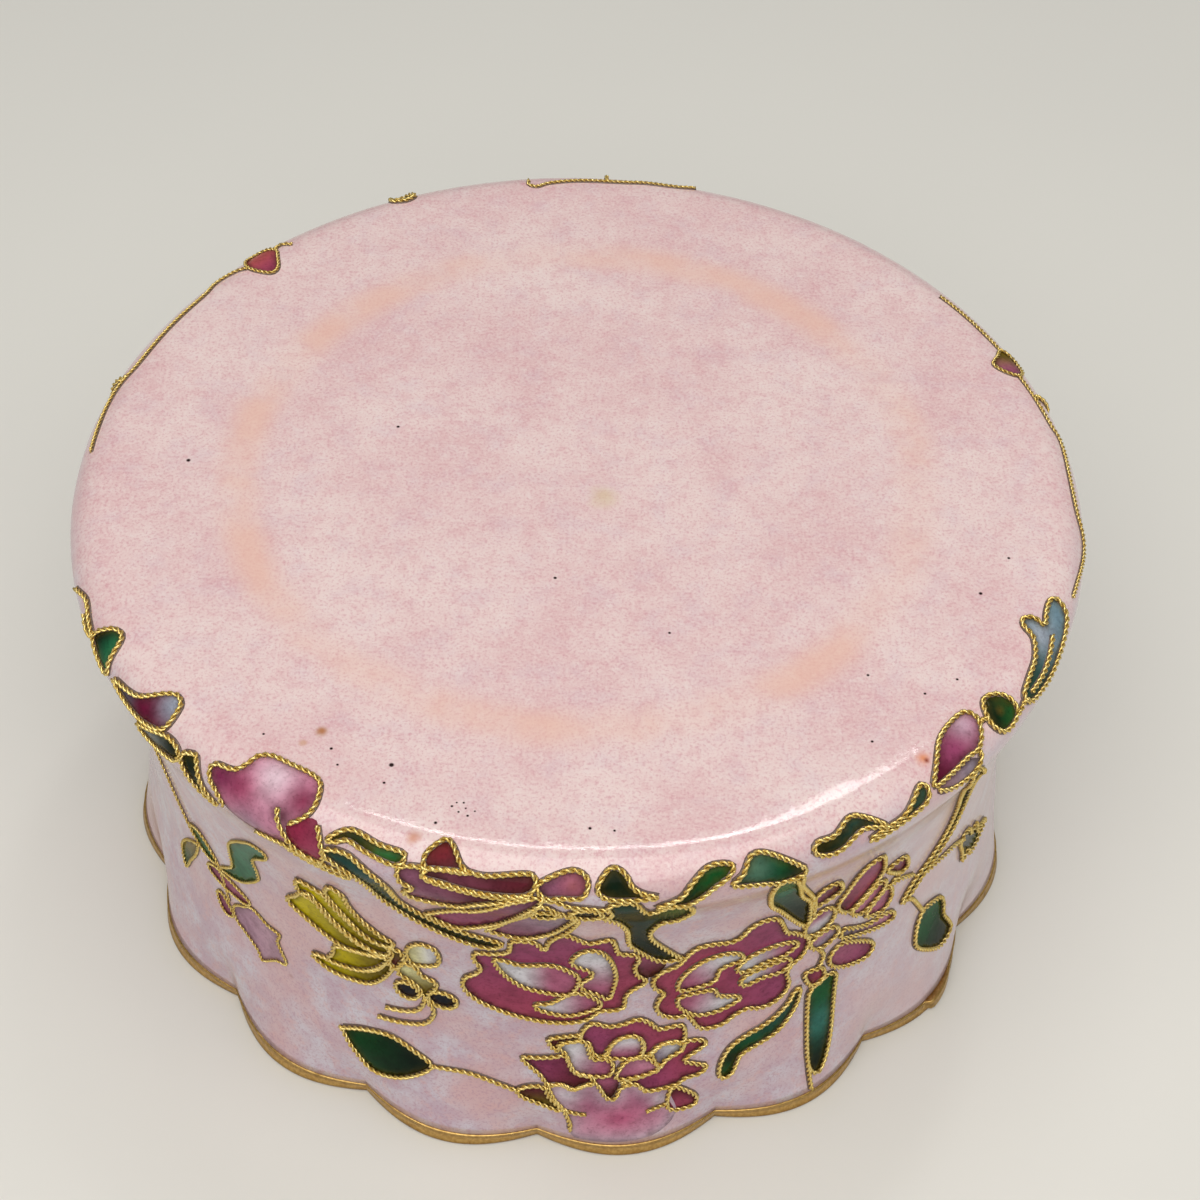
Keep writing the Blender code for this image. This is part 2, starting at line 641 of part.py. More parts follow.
def build():
    remove_everything()
    box = make_collection("cloisonne_box")
    enamel = make_material("pink_enamel", (0.62, 0.43, 0.42), 0.0, 0.18)
    gilt = make_material("gilt_brass", (0.62, 0.42, 0.12), 1.0, 0.32)
    spin_profile("box_body", box_profile(), False, box, enamel)
    spin_profile("rim_band", rim_profile(), True, box, gilt)

    front = peony_left() + peony_right() + rose() + low_leaf() + middle_stem()
    front += right_stem() + left_stem() + crown_petals() + side_flower() + edge_petal()
    nets = {
        "wire_front_bouquet": front,
        "wire_curled_leaf": curled_leaf(),
        "wire_long_leaf": long_leaf(),
        "wire_butterfly_front": butterfly(),
        "wire_left_bud": left_bud(),
        "wire_right_spray": right_leaves() + edge_bud_right(),
        "wire_small_bud": small_bud(),
        "wire_edge_spot_left": edge_spot_left(),
        "wire_edge_cells_left": edge_cells_left(),
        "wire_edge_leaf_left": edge_leaf_left(),
        "wire_edge_leaf_right": edge_leaf_right(),
        "wire_edge_wave_right": edge_wave_right(),
        "wire_edge_leaf_back": edge_leaf_back(),
        "wire_back_bouquet_left": shifted(back_bouquet(), -84.0) + back_garland_left(),
        "wire_back_bouquet_right": shifted(back_bouquet(), 84.0, True) + back_garland_right(),
        "wire_back_bouquet_middle": shifted(back_bouquet(), 147.6) + back_garland_middle(),
    }
    for name, wires in nets.items():
        wire_net(name, wires, box, gilt)


build()
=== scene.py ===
# Looks of the cloisonne enamel box body, standing mouth down on its gilt rim:
# speckled pink enamel, flower and leaf cells between twisted gilt wires.
import math

import bpy
import numpy as np
from mathutils import Matrix, Quaternion, Vector, noise
from mathutils.geometry import delaunay_2d_cdt


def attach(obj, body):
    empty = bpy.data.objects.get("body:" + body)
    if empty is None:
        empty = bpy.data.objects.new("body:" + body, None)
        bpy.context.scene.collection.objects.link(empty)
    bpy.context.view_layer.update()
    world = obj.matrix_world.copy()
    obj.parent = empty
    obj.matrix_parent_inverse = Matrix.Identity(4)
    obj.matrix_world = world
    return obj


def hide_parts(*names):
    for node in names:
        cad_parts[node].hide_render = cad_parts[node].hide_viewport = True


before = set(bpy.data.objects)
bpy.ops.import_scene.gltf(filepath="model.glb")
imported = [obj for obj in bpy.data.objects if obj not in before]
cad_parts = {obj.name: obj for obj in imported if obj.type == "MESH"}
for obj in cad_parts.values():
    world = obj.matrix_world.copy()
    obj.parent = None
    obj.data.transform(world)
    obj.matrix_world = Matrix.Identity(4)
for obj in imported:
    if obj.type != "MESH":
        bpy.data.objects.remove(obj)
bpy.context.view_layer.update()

MM = 0.001

# Sizes shared with the solids, in millimetres
BULGE_RADIUS = 50.0
HEIGHT = 48.6
EDGE_RADIUS = 3.3
WALL = 1.8
DISC_THICKNESS = 2.0
INNER_CORNER = 2.6
WALL_HEIGHTS = np.array([0.0, 4.0, 9.0, 15.0, 21.0, 28.0, 35.0, 40.0, HEIGHT - EDGE_RADIUS])
WALL_RADII = np.array([48.6, 47.7, 46.9, 46.1, 45.9, 46.1, 47.0, 48.3, BULGE_RADIUS])
LOBES = 16
LOBE_TURN = math.radians(7.6)
LOBE_DEPTH = 2.5
LOBE_REACH = 10.0
RIM_HEIGHT = 1.4
RIM_PROUD = 0.15
RIM_WIDTH = 1.7
RIM_GAP = 0.1
UNROLL_RADIUS = 47.0

# Twisted wire
STRAND_RADIUS = 0.135
STRAND_OFFSET = 0.15
TWIST = 1.4
STRAND_SIDES = 6
WIRE_LIFT = 0.2
WIRE_STEP = 0.22

# Slight easing of the disc before it turns over the edge
SHOULDER = 2.4
SHOULDER_DROP = 0.12

# Dark strip under each wire, partly dirt at the wire's foot and partly painted shade beside it: its
# outline, across the wire and out of the wall
DIRT_AND_SHADE_STRIP = np.array([(-0.34, -0.02), (-0.2, 0.1), (0.2, 0.1), (0.34, -0.02), (0.0, -0.25)])

# Enamel of the cells: its height above the ground, more for each level and near the wires,
# its depth below, and the width of its dark edge
CELL_RISE = 0.05
LEVEL_RISE = 0.05
CREEP = 0.06
CREEP_WIDTH = 0.4
CELL_DEPTH = 0.4
DARK_EDGE = 0.25

# Unevenness of the enamelled shell: its strength, and its waves per millimetre
UNEVEN = 0.04
BROAD_WAVES = 0.11
FINE_WAVES = 0.4

# Gilt band: where along the wall its ends lap and its top is ragged, how strongly,
# and how many rows of its section do so
LAP_START = 41.6
LAP_END = 47.5
LAP_RAMP = 0.5
LAP_SWELL = 0.6
RAGGED_START = -38.0
RAGGED_END = -31.5
BEAD = 0.1
LAP_ROWS = 6
BEAD_ROWS = 3

# Faint peach ring on the disc
RING_RADIUS = 33.5
RING_HALF = 3.4

# Fineness of the meshes
STEPS_PER_LOBE = 24
CELL_STEP = 0.45
CELL_GRID = 0.7
CELL_MARGIN = 0.3

# Camera: where it stands, where it aims and how far it is rolled
CAMERA_PLACE = (0.0, -161.3, 202.57)
CAMERA_AIM = (2.49, 4.93, 24.3)
CAMERA_ROLL = math.radians(1.775)
CAMERA_LENS = 67.57

# Half the width of the floor, in metres
FLOOR_REACH = 1.6


def paint(red, green, blue):
    """Linear colour from screen values of 0 to 255."""
    values = [c / 255.0 for c in (red, green, blue)]
    return tuple(c / 12.92 if c <= 0.04045 else ((c + 0.055) / 1.055) ** 2.4 for c in values)


PALE = paint(238, 218, 213)
PINK = paint(217, 170, 173)
LAVENDER = paint(214, 186, 196)
# Wall tones: the enamel's own cloudier mauve, kept darker than the disc's partly as painted shade on the
# side wall
PEACH = paint(237, 191, 170)
WALL_PALE = paint(210, 202, 212)
WALL_MAUVE = paint(196, 170, 184)
WALL_BLUSH = paint(214, 172, 172)
WHITE = paint(222, 220, 226)
GREY = paint(166, 152, 168)
ROSY = paint(204, 138, 162)
ORCHID = paint(176, 98, 128)
MAGENTA = paint(150, 68, 104)
CRIMSON = paint(162, 70, 96)
MAROON = paint(98, 36, 48)
WINE = paint(104, 22, 54)
PLUM = paint(146, 92, 116)
LEAF = paint(16, 84, 40)
PINE = paint(14, 32, 22)
MOSS = paint(96, 138, 112)
TEAL = paint(34, 76, 70)
SKY = paint(120, 150, 164)
OLIVE = paint(200, 182, 10)
BRONZE = paint(124, 106, 14)
CREAM = paint(226, 222, 166)
NAVY = paint(24, 30, 40)
# Edge colours of the cells beside the wires: partly the enamel's own fired edge, partly painted shade
BROWN_EDGE = paint(70, 48, 36)
OCHRE_EDGE = paint(84, 72, 28)
SPECK = paint(40, 20, 18)


# Geometry of the wall

def wall_radius(z):
    """Outer radius of the side wall at the heights z, without the scallops."""
    z = np.asarray(z, float)
    last = len(WALL_HEIGHTS) - 1
    slopes = np.zeros(last + 1)
    slopes[0] = (WALL_RADII[1] - WALL_RADII[0]) / (WALL_HEIGHTS[1] - WALL_HEIGHTS[0])
    slopes[1:last] = (WALL_RADII[2:] - WALL_RADII[:-2]) / (WALL_HEIGHTS[2:] - WALL_HEIGHTS[:-2])
    i = np.clip(np.searchsorted(WALL_HEIGHTS, z, side="right") - 1, 0, last - 1)
    span = WALL_HEIGHTS[i + 1] - WALL_HEIGHTS[i]
    t = (z - WALL_HEIGHTS[i]) / span
    start = (2 * t ** 3 - 3 * t ** 2 + 1) * WALL_RADII[i] + (t ** 3 - 2 * t ** 2 + t) * span * slopes[i]
    end = (3 * t ** 2 - 2 * t ** 3) * WALL_RADII[i + 1] + (t ** 3 - t ** 2) * span * slopes[i + 1]
    return start + end


def scallop(angle, z):
    """How far the wall is pressed inward; fades out up the wall."""
    fade = np.clip(1.0 - np.asarray(z) / LOBE_REACH, 0.0, 1.0) ** 1.5
    wave = np.abs(np.cos(LOBES * (angle - LOBE_TURN) / 2.0))
    return -LOBE_DEPTH * fade * (1.0 - wave)


def edge_drop(r):
    """How far the disc eases down before and round its edge."""
    over = max(0.0, (r - (BULGE_RADIUS - EDGE_RADIUS - SHOULDER)) / SHOULDER)
    if over <= 1.0:
        return SHOULDER_DROP * over ** 2
    return SHOULDER_DROP * (2.0 * over - 1.0)


def edge_arc(turn):
    """Outline (r, z) round the edge, from the bulge at turn 0 up to the disc."""
    r = BULGE_RADIUS - EDGE_RADIUS + EDGE_RADIUS * math.cos(turn)
    z = HEIGHT - EDGE_RADIUS + EDGE_RADIUS * math.sin(turn)
    return r, z - edge_drop(r) * math.sin(turn) ** 2


def outer_path():
    """Outer outline from the mouth up the wall and over the edge on to the disc."""
    z = np.linspace(0.0, HEIGHT - EDGE_RADIUS, 240, endpoint=False)
    path = [(float(wall_radius(level)), level) for level in z]
    path += [edge_arc(turn) for turn in np.linspace(0.0, math.pi / 2, 33)]
    path += [(r, HEIGHT - edge_drop(r)) for r in np.linspace(BULGE_RADIUS - EDGE_RADIUS, 20.0, 90)[1:]]
    return np.array(path).T


def unit(vectors):
    return vectors / np.maximum(np.linalg.norm(vectors, axis=-1, keepdims=True), 1e-9)


def run_length(points):
    """Distance covered along a line at each of its points."""
    return np.concatenate([[0.0], np.cumsum(np.linalg.norm(np.diff(points, axis=0), axis=1))])


PATH_R, PATH_Z = outer_path()
PATH_V = run_length(np.stack([PATH_R, PATH_Z], axis=1))
SLOPE_R = np.gradient(PATH_R, PATH_V)
SLOPE_Z = np.gradient(PATH_Z, PATH_V)


def on_wall(u, v, lift):
    """Points u along the wall from the front and v up from the mouth, in millimetres."""
    angle = np.asarray(u) / UNROLL_RADIUS - math.pi / 2
    r = np.interp(v, PATH_V, PATH_R)
    z = np.interp(v, PATH_V, PATH_Z)
    r = r + scallop(angle, z) + lift * np.interp(v, PATH_V, SLOPE_Z)
    z = z - lift * np.interp(v, PATH_V, SLOPE_R)
    return np.stack([r * np.cos(angle), r * np.sin(angle), z], axis=-1)


# Meshes

def show(name, data):
    item = bpy.data.objects.new(name, data)
    bpy.context.scene.collection.objects.link(item)
    return item


class Build:
    """Collects points, faces and per-point values for one mesh."""

    def __init__(self):
        self.points = []
        self.faces = []
        self.marks = []
        self.values = {}
        self.count = 0

    def add(self, points, faces, mark=0, **values):
        self.points.append(np.asarray(points, float))
        self.faces += [tuple(i + self.count for i in face) for face in faces]
        self.marks += [mark] * len(faces)
        for key, value in values.items():
            self.values.setdefault(key, []).append(np.asarray(value, float))
        self.count += len(points)

    def piece(self, name, materials, replaced=()):
        mesh = bpy.data.meshes.new(name)
        mesh.from_pydata((np.concatenate(self.points) * MM).tolist(), [], self.faces)
        for material in materials:
            mesh.materials.append(material)
        mesh.polygons.foreach_set("material_index", self.marks)
        mesh.polygons.foreach_set("use_smooth", [True] * len(self.faces))
        for key, parts in self.values.items():
            data = np.concatenate(parts)
            kind, field = ("FLOAT_COLOR", "color") if data.ndim == 2 else ("FLOAT", "value")
            mesh.attributes.new(key, kind, "POINT").data.foreach_set(field, data.ravel())
        mesh.validate()
        mesh.update()
        item = show(name, mesh)
        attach(item, "root")
        if replaced:
            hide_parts(*replaced)


def bands(rows, closed=True):
    """Faces between each row of point numbers and the next; a point named twice counts once."""
    faces = []
    for low, high in zip(rows, rows[1:] + rows[:1] if closed else rows[1:]):
        for corners in zip(low, low[1:] + low[:1], high[1:] + high[:1], high):
            faces.append(tuple(dict.fromkeys(corners)))
    return [face for face in faces if len(face) > 2]


def lathe(build, profile, steps, change=None):
    """Turn a closed profile of (r, z, rough) about the axis and press in the scallops."""
    angles = np.arange(steps) * 2 * math.pi / steps + LOBE_TURN
    rows = []
    points = []
    for row, (r, z, rough) in enumerate(profile):
        start = len(points)
        if r == 0.0:
            points.append((0.0, 0.0, z))
            rows.append([start] * steps)
            continue
        reach = r + scallop(angles, z)
        for angle, radius in zip(angles, reach):
            here = Vector((radius * math.cos(angle), radius * math.sin(angle), z))
            if rough:
                shift = noise.noise(here * BROAD_WAVES) + 0.45 * noise.noise(here * FINE_WAVES)
                here *= 1.0 + UNEVEN * shift / here.length
            if change:
                here = change(here, angle, row)
            points.append(tuple(here))
        rows.append(list(range(start, start + steps)))
    build.add(points, bands(rows))


def smooth(points, closed, step):
    """Evenly spaced points on a smooth curve through given points; a doubled one is a corner."""
    given = np.asarray(points, float)
    if closed:
        given = np.concatenate([given[-1:], given, given[:2]])
    else:
        given = np.concatenate([given[:1], given, given[-1:]])
    dense = []
    t = np.linspace(0.0, 1.0, 12, endpoint=False)[:, None]
    for p0, p1, p2, p3 in zip(given, given[1:], given[2:], given[3:]):
        curve = 2 * p1 + (p2 - p0) * t + (2 * p0 - 5 * p1 + 4 * p2 - p3) * t ** 2
        dense.append(0.5 * (curve + (3 * p1 - p0 - 3 * p2 + p3) * t ** 3))
    dense.append(given[-2:-1])
    dense = np.concatenate(dense)
    run = run_length(dense)
    count = max(int(round(run[-1] / step)), 4)
    places = np.linspace(0.0, run[-1], count, endpoint=not closed)
    return np.stack([np.interp(places, run, values) for values in dense.T], axis=1)


def tangents(points, closed):
    if closed:
        return unit(np.roll(points, -1, axis=0) - np.roll(points, 1, axis=0))
    return unit(np.gradient(points, axis=0))


def tube(build, rings, closed, mark, height):
    """Skin over a row of rings of points."""
    rows = np.arange(height.size).reshape(height.shape).tolist()
    faces = bands(rows, closed)
    if not closed:
        faces += [tuple(rows[0][::-1]), tuple(rows[-1])]
    build.add(rings.reshape(-1, 3), faces, mark, height=height.ravel())


def rope(build, points, closed, size):
    """Two strands twisted together along a line drawn on the wall, over a dark strip of dirt and painted
    shade.
    """
    line = smooth(points, closed, WIRE_STEP)
    ground = on_wall(*line.T, 0.0)
    middle = on_wall(*line.T, WIRE_LIFT * size)
    ahead = tangents(middle, closed)
    out = unit(on_wall(*line.T, 1.0) - ground)
    side = unit(np.cross(ahead, out))
    out = np.cross(side, ahead)
    run = run_length(middle)
    total = run[-1]
    if closed:
        total += np.linalg.norm(middle[0] - middle[-1])
    turns = max(round(total / TWIST / size), 1)
    around = np.arange(STRAND_SIDES) * 2 * math.pi / STRAND_SIDES
    for start in (0.0, math.pi):
        phase = (2 * math.pi * turns * run / total + start)[:, None]
        away = np.cos(phase) * out + np.sin(phase) * side
        centre = middle + STRAND_OFFSET * size * away
        forward = tangents(centre, closed)
        away = unit(away - forward * np.sum(away * forward, axis=1, keepdims=True))
        across = np.cross(forward, away)
        ring = np.cos(around)[:, None] * away[:, None] + np.sin(around)[:, None] * across[:, None]
        rings = centre[:, None] + STRAND_RADIUS * size * ring
        height = np.sum((rings - middle[:, None]) * out[:, None], axis=2) + WIRE_LIFT
        tube(build, rings, closed, 0, height)
    # Dark strip under the wire: partly dirt, partly painted shade beside the wire
    dirt_and_shade_strip = DIRT_AND_SHADE_STRIP * size
    rings = ground[::2, None] + dirt_and_shade_strip[:, :1] * side[::2, None] + dirt_and_shade_strip[:, 1:] * out[::2, None]
    tube(build, rings, closed, 1, np.zeros(rings.shape[:2]))


def inside_outline(places, outline):
    """Which places of the plane lie inside a closed outline."""
    x, y = places[:, :1], places[:, 1:]
    x0, y0 = outline[:, 0], outline[:, 1]
    x1, y1 = np.roll(x0, -1), np.roll(y0, -1)
    crosses = (y0 > y) != (y1 > y)
    with np.errstate(divide="ignore", invalid="ignore"):
        reach = (x1 - x0) * (y - y0) / (y1 - y0) + x0
    return np.sum(crosses & (x < reach), axis=1) % 2 == 1


def edge_distance(places, outline):
    """Distance of each place to the outline."""
    a = outline
    b = np.roll(outline, -1, axis=0)
    along = b - a
    t = np.sum((places[:, None] - a) * along, axis=2) / np.maximum(np.sum(along ** 2, axis=1), 1e-9)
    nearest = a + np.clip(t, 0.0, 1.0)[..., None] * along
    return np.min(np.linalg.norm(places[:, None] - nearest, axis=2), axis=1)


def fill(build, cell):
    """Glassy tablet of enamel in one cell: coloured top, closed below the wall's face."""
    outline = smooth(cell["points"], True, CELL_STEP)
    low = outline.min(axis=0)
    high = outline.max(axis=0)
    columns = np.arange(low[0], high[0], CELL_GRID)
    rows = np.arange(low[1], high[1], CELL_GRID * 0.87)
    grid = [(u + (k % 2) * CELL_GRID / 2, v) for k, v in enumerate(rows) for u in columns]
    grid = np.reshape(grid, (-1, 2))
    grid = grid[inside_outline(grid, outline)]
    if len(grid):
        grid = grid[edge_distance(grid, outline) > CELL_MARGIN]
    given = [Vector(p) for p in outline.tolist() + grid.tolist()]
    spots, _, tris, _, _, _ = delaunay_2d_cdt(given, [], [list(range(len(outline)))], 1, 0.0001, False)
    flat = np.array([(p.x, p.y) for p in spots])
    depth = edge_distance(flat, outline)
    lift = CELL_RISE + LEVEL_RISE * cell["level"] + CREEP * np.exp(-depth / CREEP_WIDTH)
    centres = flat[np.array(tris)].mean(axis=1)
    tris = [tri for tri, kept in zip(tris, inside_outline(centres, outline)) if kept]
    top = on_wall(*flat.T, lift)
    bottom = on_wall(*flat.T, -CELL_DEPTH)
    used = dict.fromkeys(pair for tri in tris for pair in zip(tri, tri[1:] + tri[:1]))
    count = len(flat)
    faces = [tuple(tri) for tri in tris]
    faces += [tuple(i + count for i in reversed(tri)) for tri in tris]
    faces += [(b, a, a + count, b + count) for a, b in used if (b, a) not in used]
    turn = math.radians(cell["turn"])
    run = flat @ np.array([math.cos(turn), math.sin(turn)])
    share = (run - run.min()) / max(np.ptp(run), 1e-6)
    share = np.clip((share - cell["hold"]) / (1 - 2 * cell["hold"]), 0.0, 1.0)
    share = (share ** 2 * (3 - 2 * share))[:, None]
    tint = np.array(cell["first"]) * (1 - share) + np.array(cell["second"]) * share
    for place, radius, color in cell["blots"]:
        near = np.exp(-(np.linalg.norm(flat - np.array(place), axis=1) / radius) ** 2)[:, None]
        tint = tint * (1 - near) + np.array(color) * near
    # Edge tint towards the outline: for most cells a dark edge beside the wires, partly the enamel's own
    # edge colour and partly painted shade
    shade = (np.exp(-np.maximum(depth - DARK_EDGE, 0.0) / cell["soft"]) * cell["dark"])[:, None]
    tint = tint * (1 - shade) + np.array(cell["edge"]) * shade
    tint = np.column_stack([tint, np.ones(count)])
    build.add(np.concatenate([top, bottom]), faces, tint=np.tile(tint, (2, 1)))


# Drawing of the flowers, leaves and butterfly, in (u, v) tenths of a millimetre on the wall

def tenths(points):
    return [(u / 10, v / 10) for u, v in points]


def oval(u, v, width, height):
    """Eight points round an oval, from its middle and its half sizes."""
    angles = np.arange(8) * math.pi / 4
    return [(u + width * math.cos(angle), v + height * math.sin(angle)) for angle in angles]


def cell(points, first, second=None, turn=0.0, level=0, edge=BROWN_EDGE, dark=0.75,
         wired=True, hold=0.15, soft=0.2, blots=()):
    """Enamel cell shading from the first colour to the second in the direction turn.

    Dark is the strength of its edge colour. Blots are soft patches: place, radius, colour.
    """
    blots = [((u / 10, v / 10), radius / 10, color) for u, v, radius, color in blots]
    return dict(points=tenths(points), closed=True, first=first, second=second or first,
                turn=turn, level=level, edge=edge, dark=dark,
                wired=wired, hold=hold, soft=soft, blots=blots)


def leaf(points, first, second=None, turn=0.0, **more):
    return cell(points, first, second, turn, edge=OCHRE_EDGE, dark=0.7, **more)


def wire(*points):
    return dict(points=tenths(points), closed=False, wired=True)


def thinner(parts, size):
    """The same drawing in finer wire."""
    return [dict(part, size=size) for part in parts]


def moved(parts, du, mirror=False):
    """The same drawing further round the wall, or turned left for right."""
    copies = []
    for part in parts:
        points = [(du - u if mirror else du + u, v) for u, v in part["points"]]
        turn = part.get("turn", 0.0)
        copies.append(dict(part, points=points, turn=180.0 - turn if mirror else turn))
    return copies


# Top line of the rose's base, and outline of the petal that laps over the edge
ROSE_BASE = [(-19, 109), (-6, 110), (6, 103), (26, 112), (38, 89), (47, 88), (52, 102), (66, 106),
    (78, 94), (95, 95)]

PETAL_RIM = [(-310, 454), (-316, 466), (-325, 473), (-330, 483), (-326, 489), (-316, 491), (-307, 495),
    (-302, 504), (-299, 515), (-289, 522), (-270, 524), (-248, 525), (-235, 521), (-228, 508), (-227, 496),
    (-232, 486), (-242, 477)]

# Wires and cells of each net, in the order in which they are made
NETS = {}

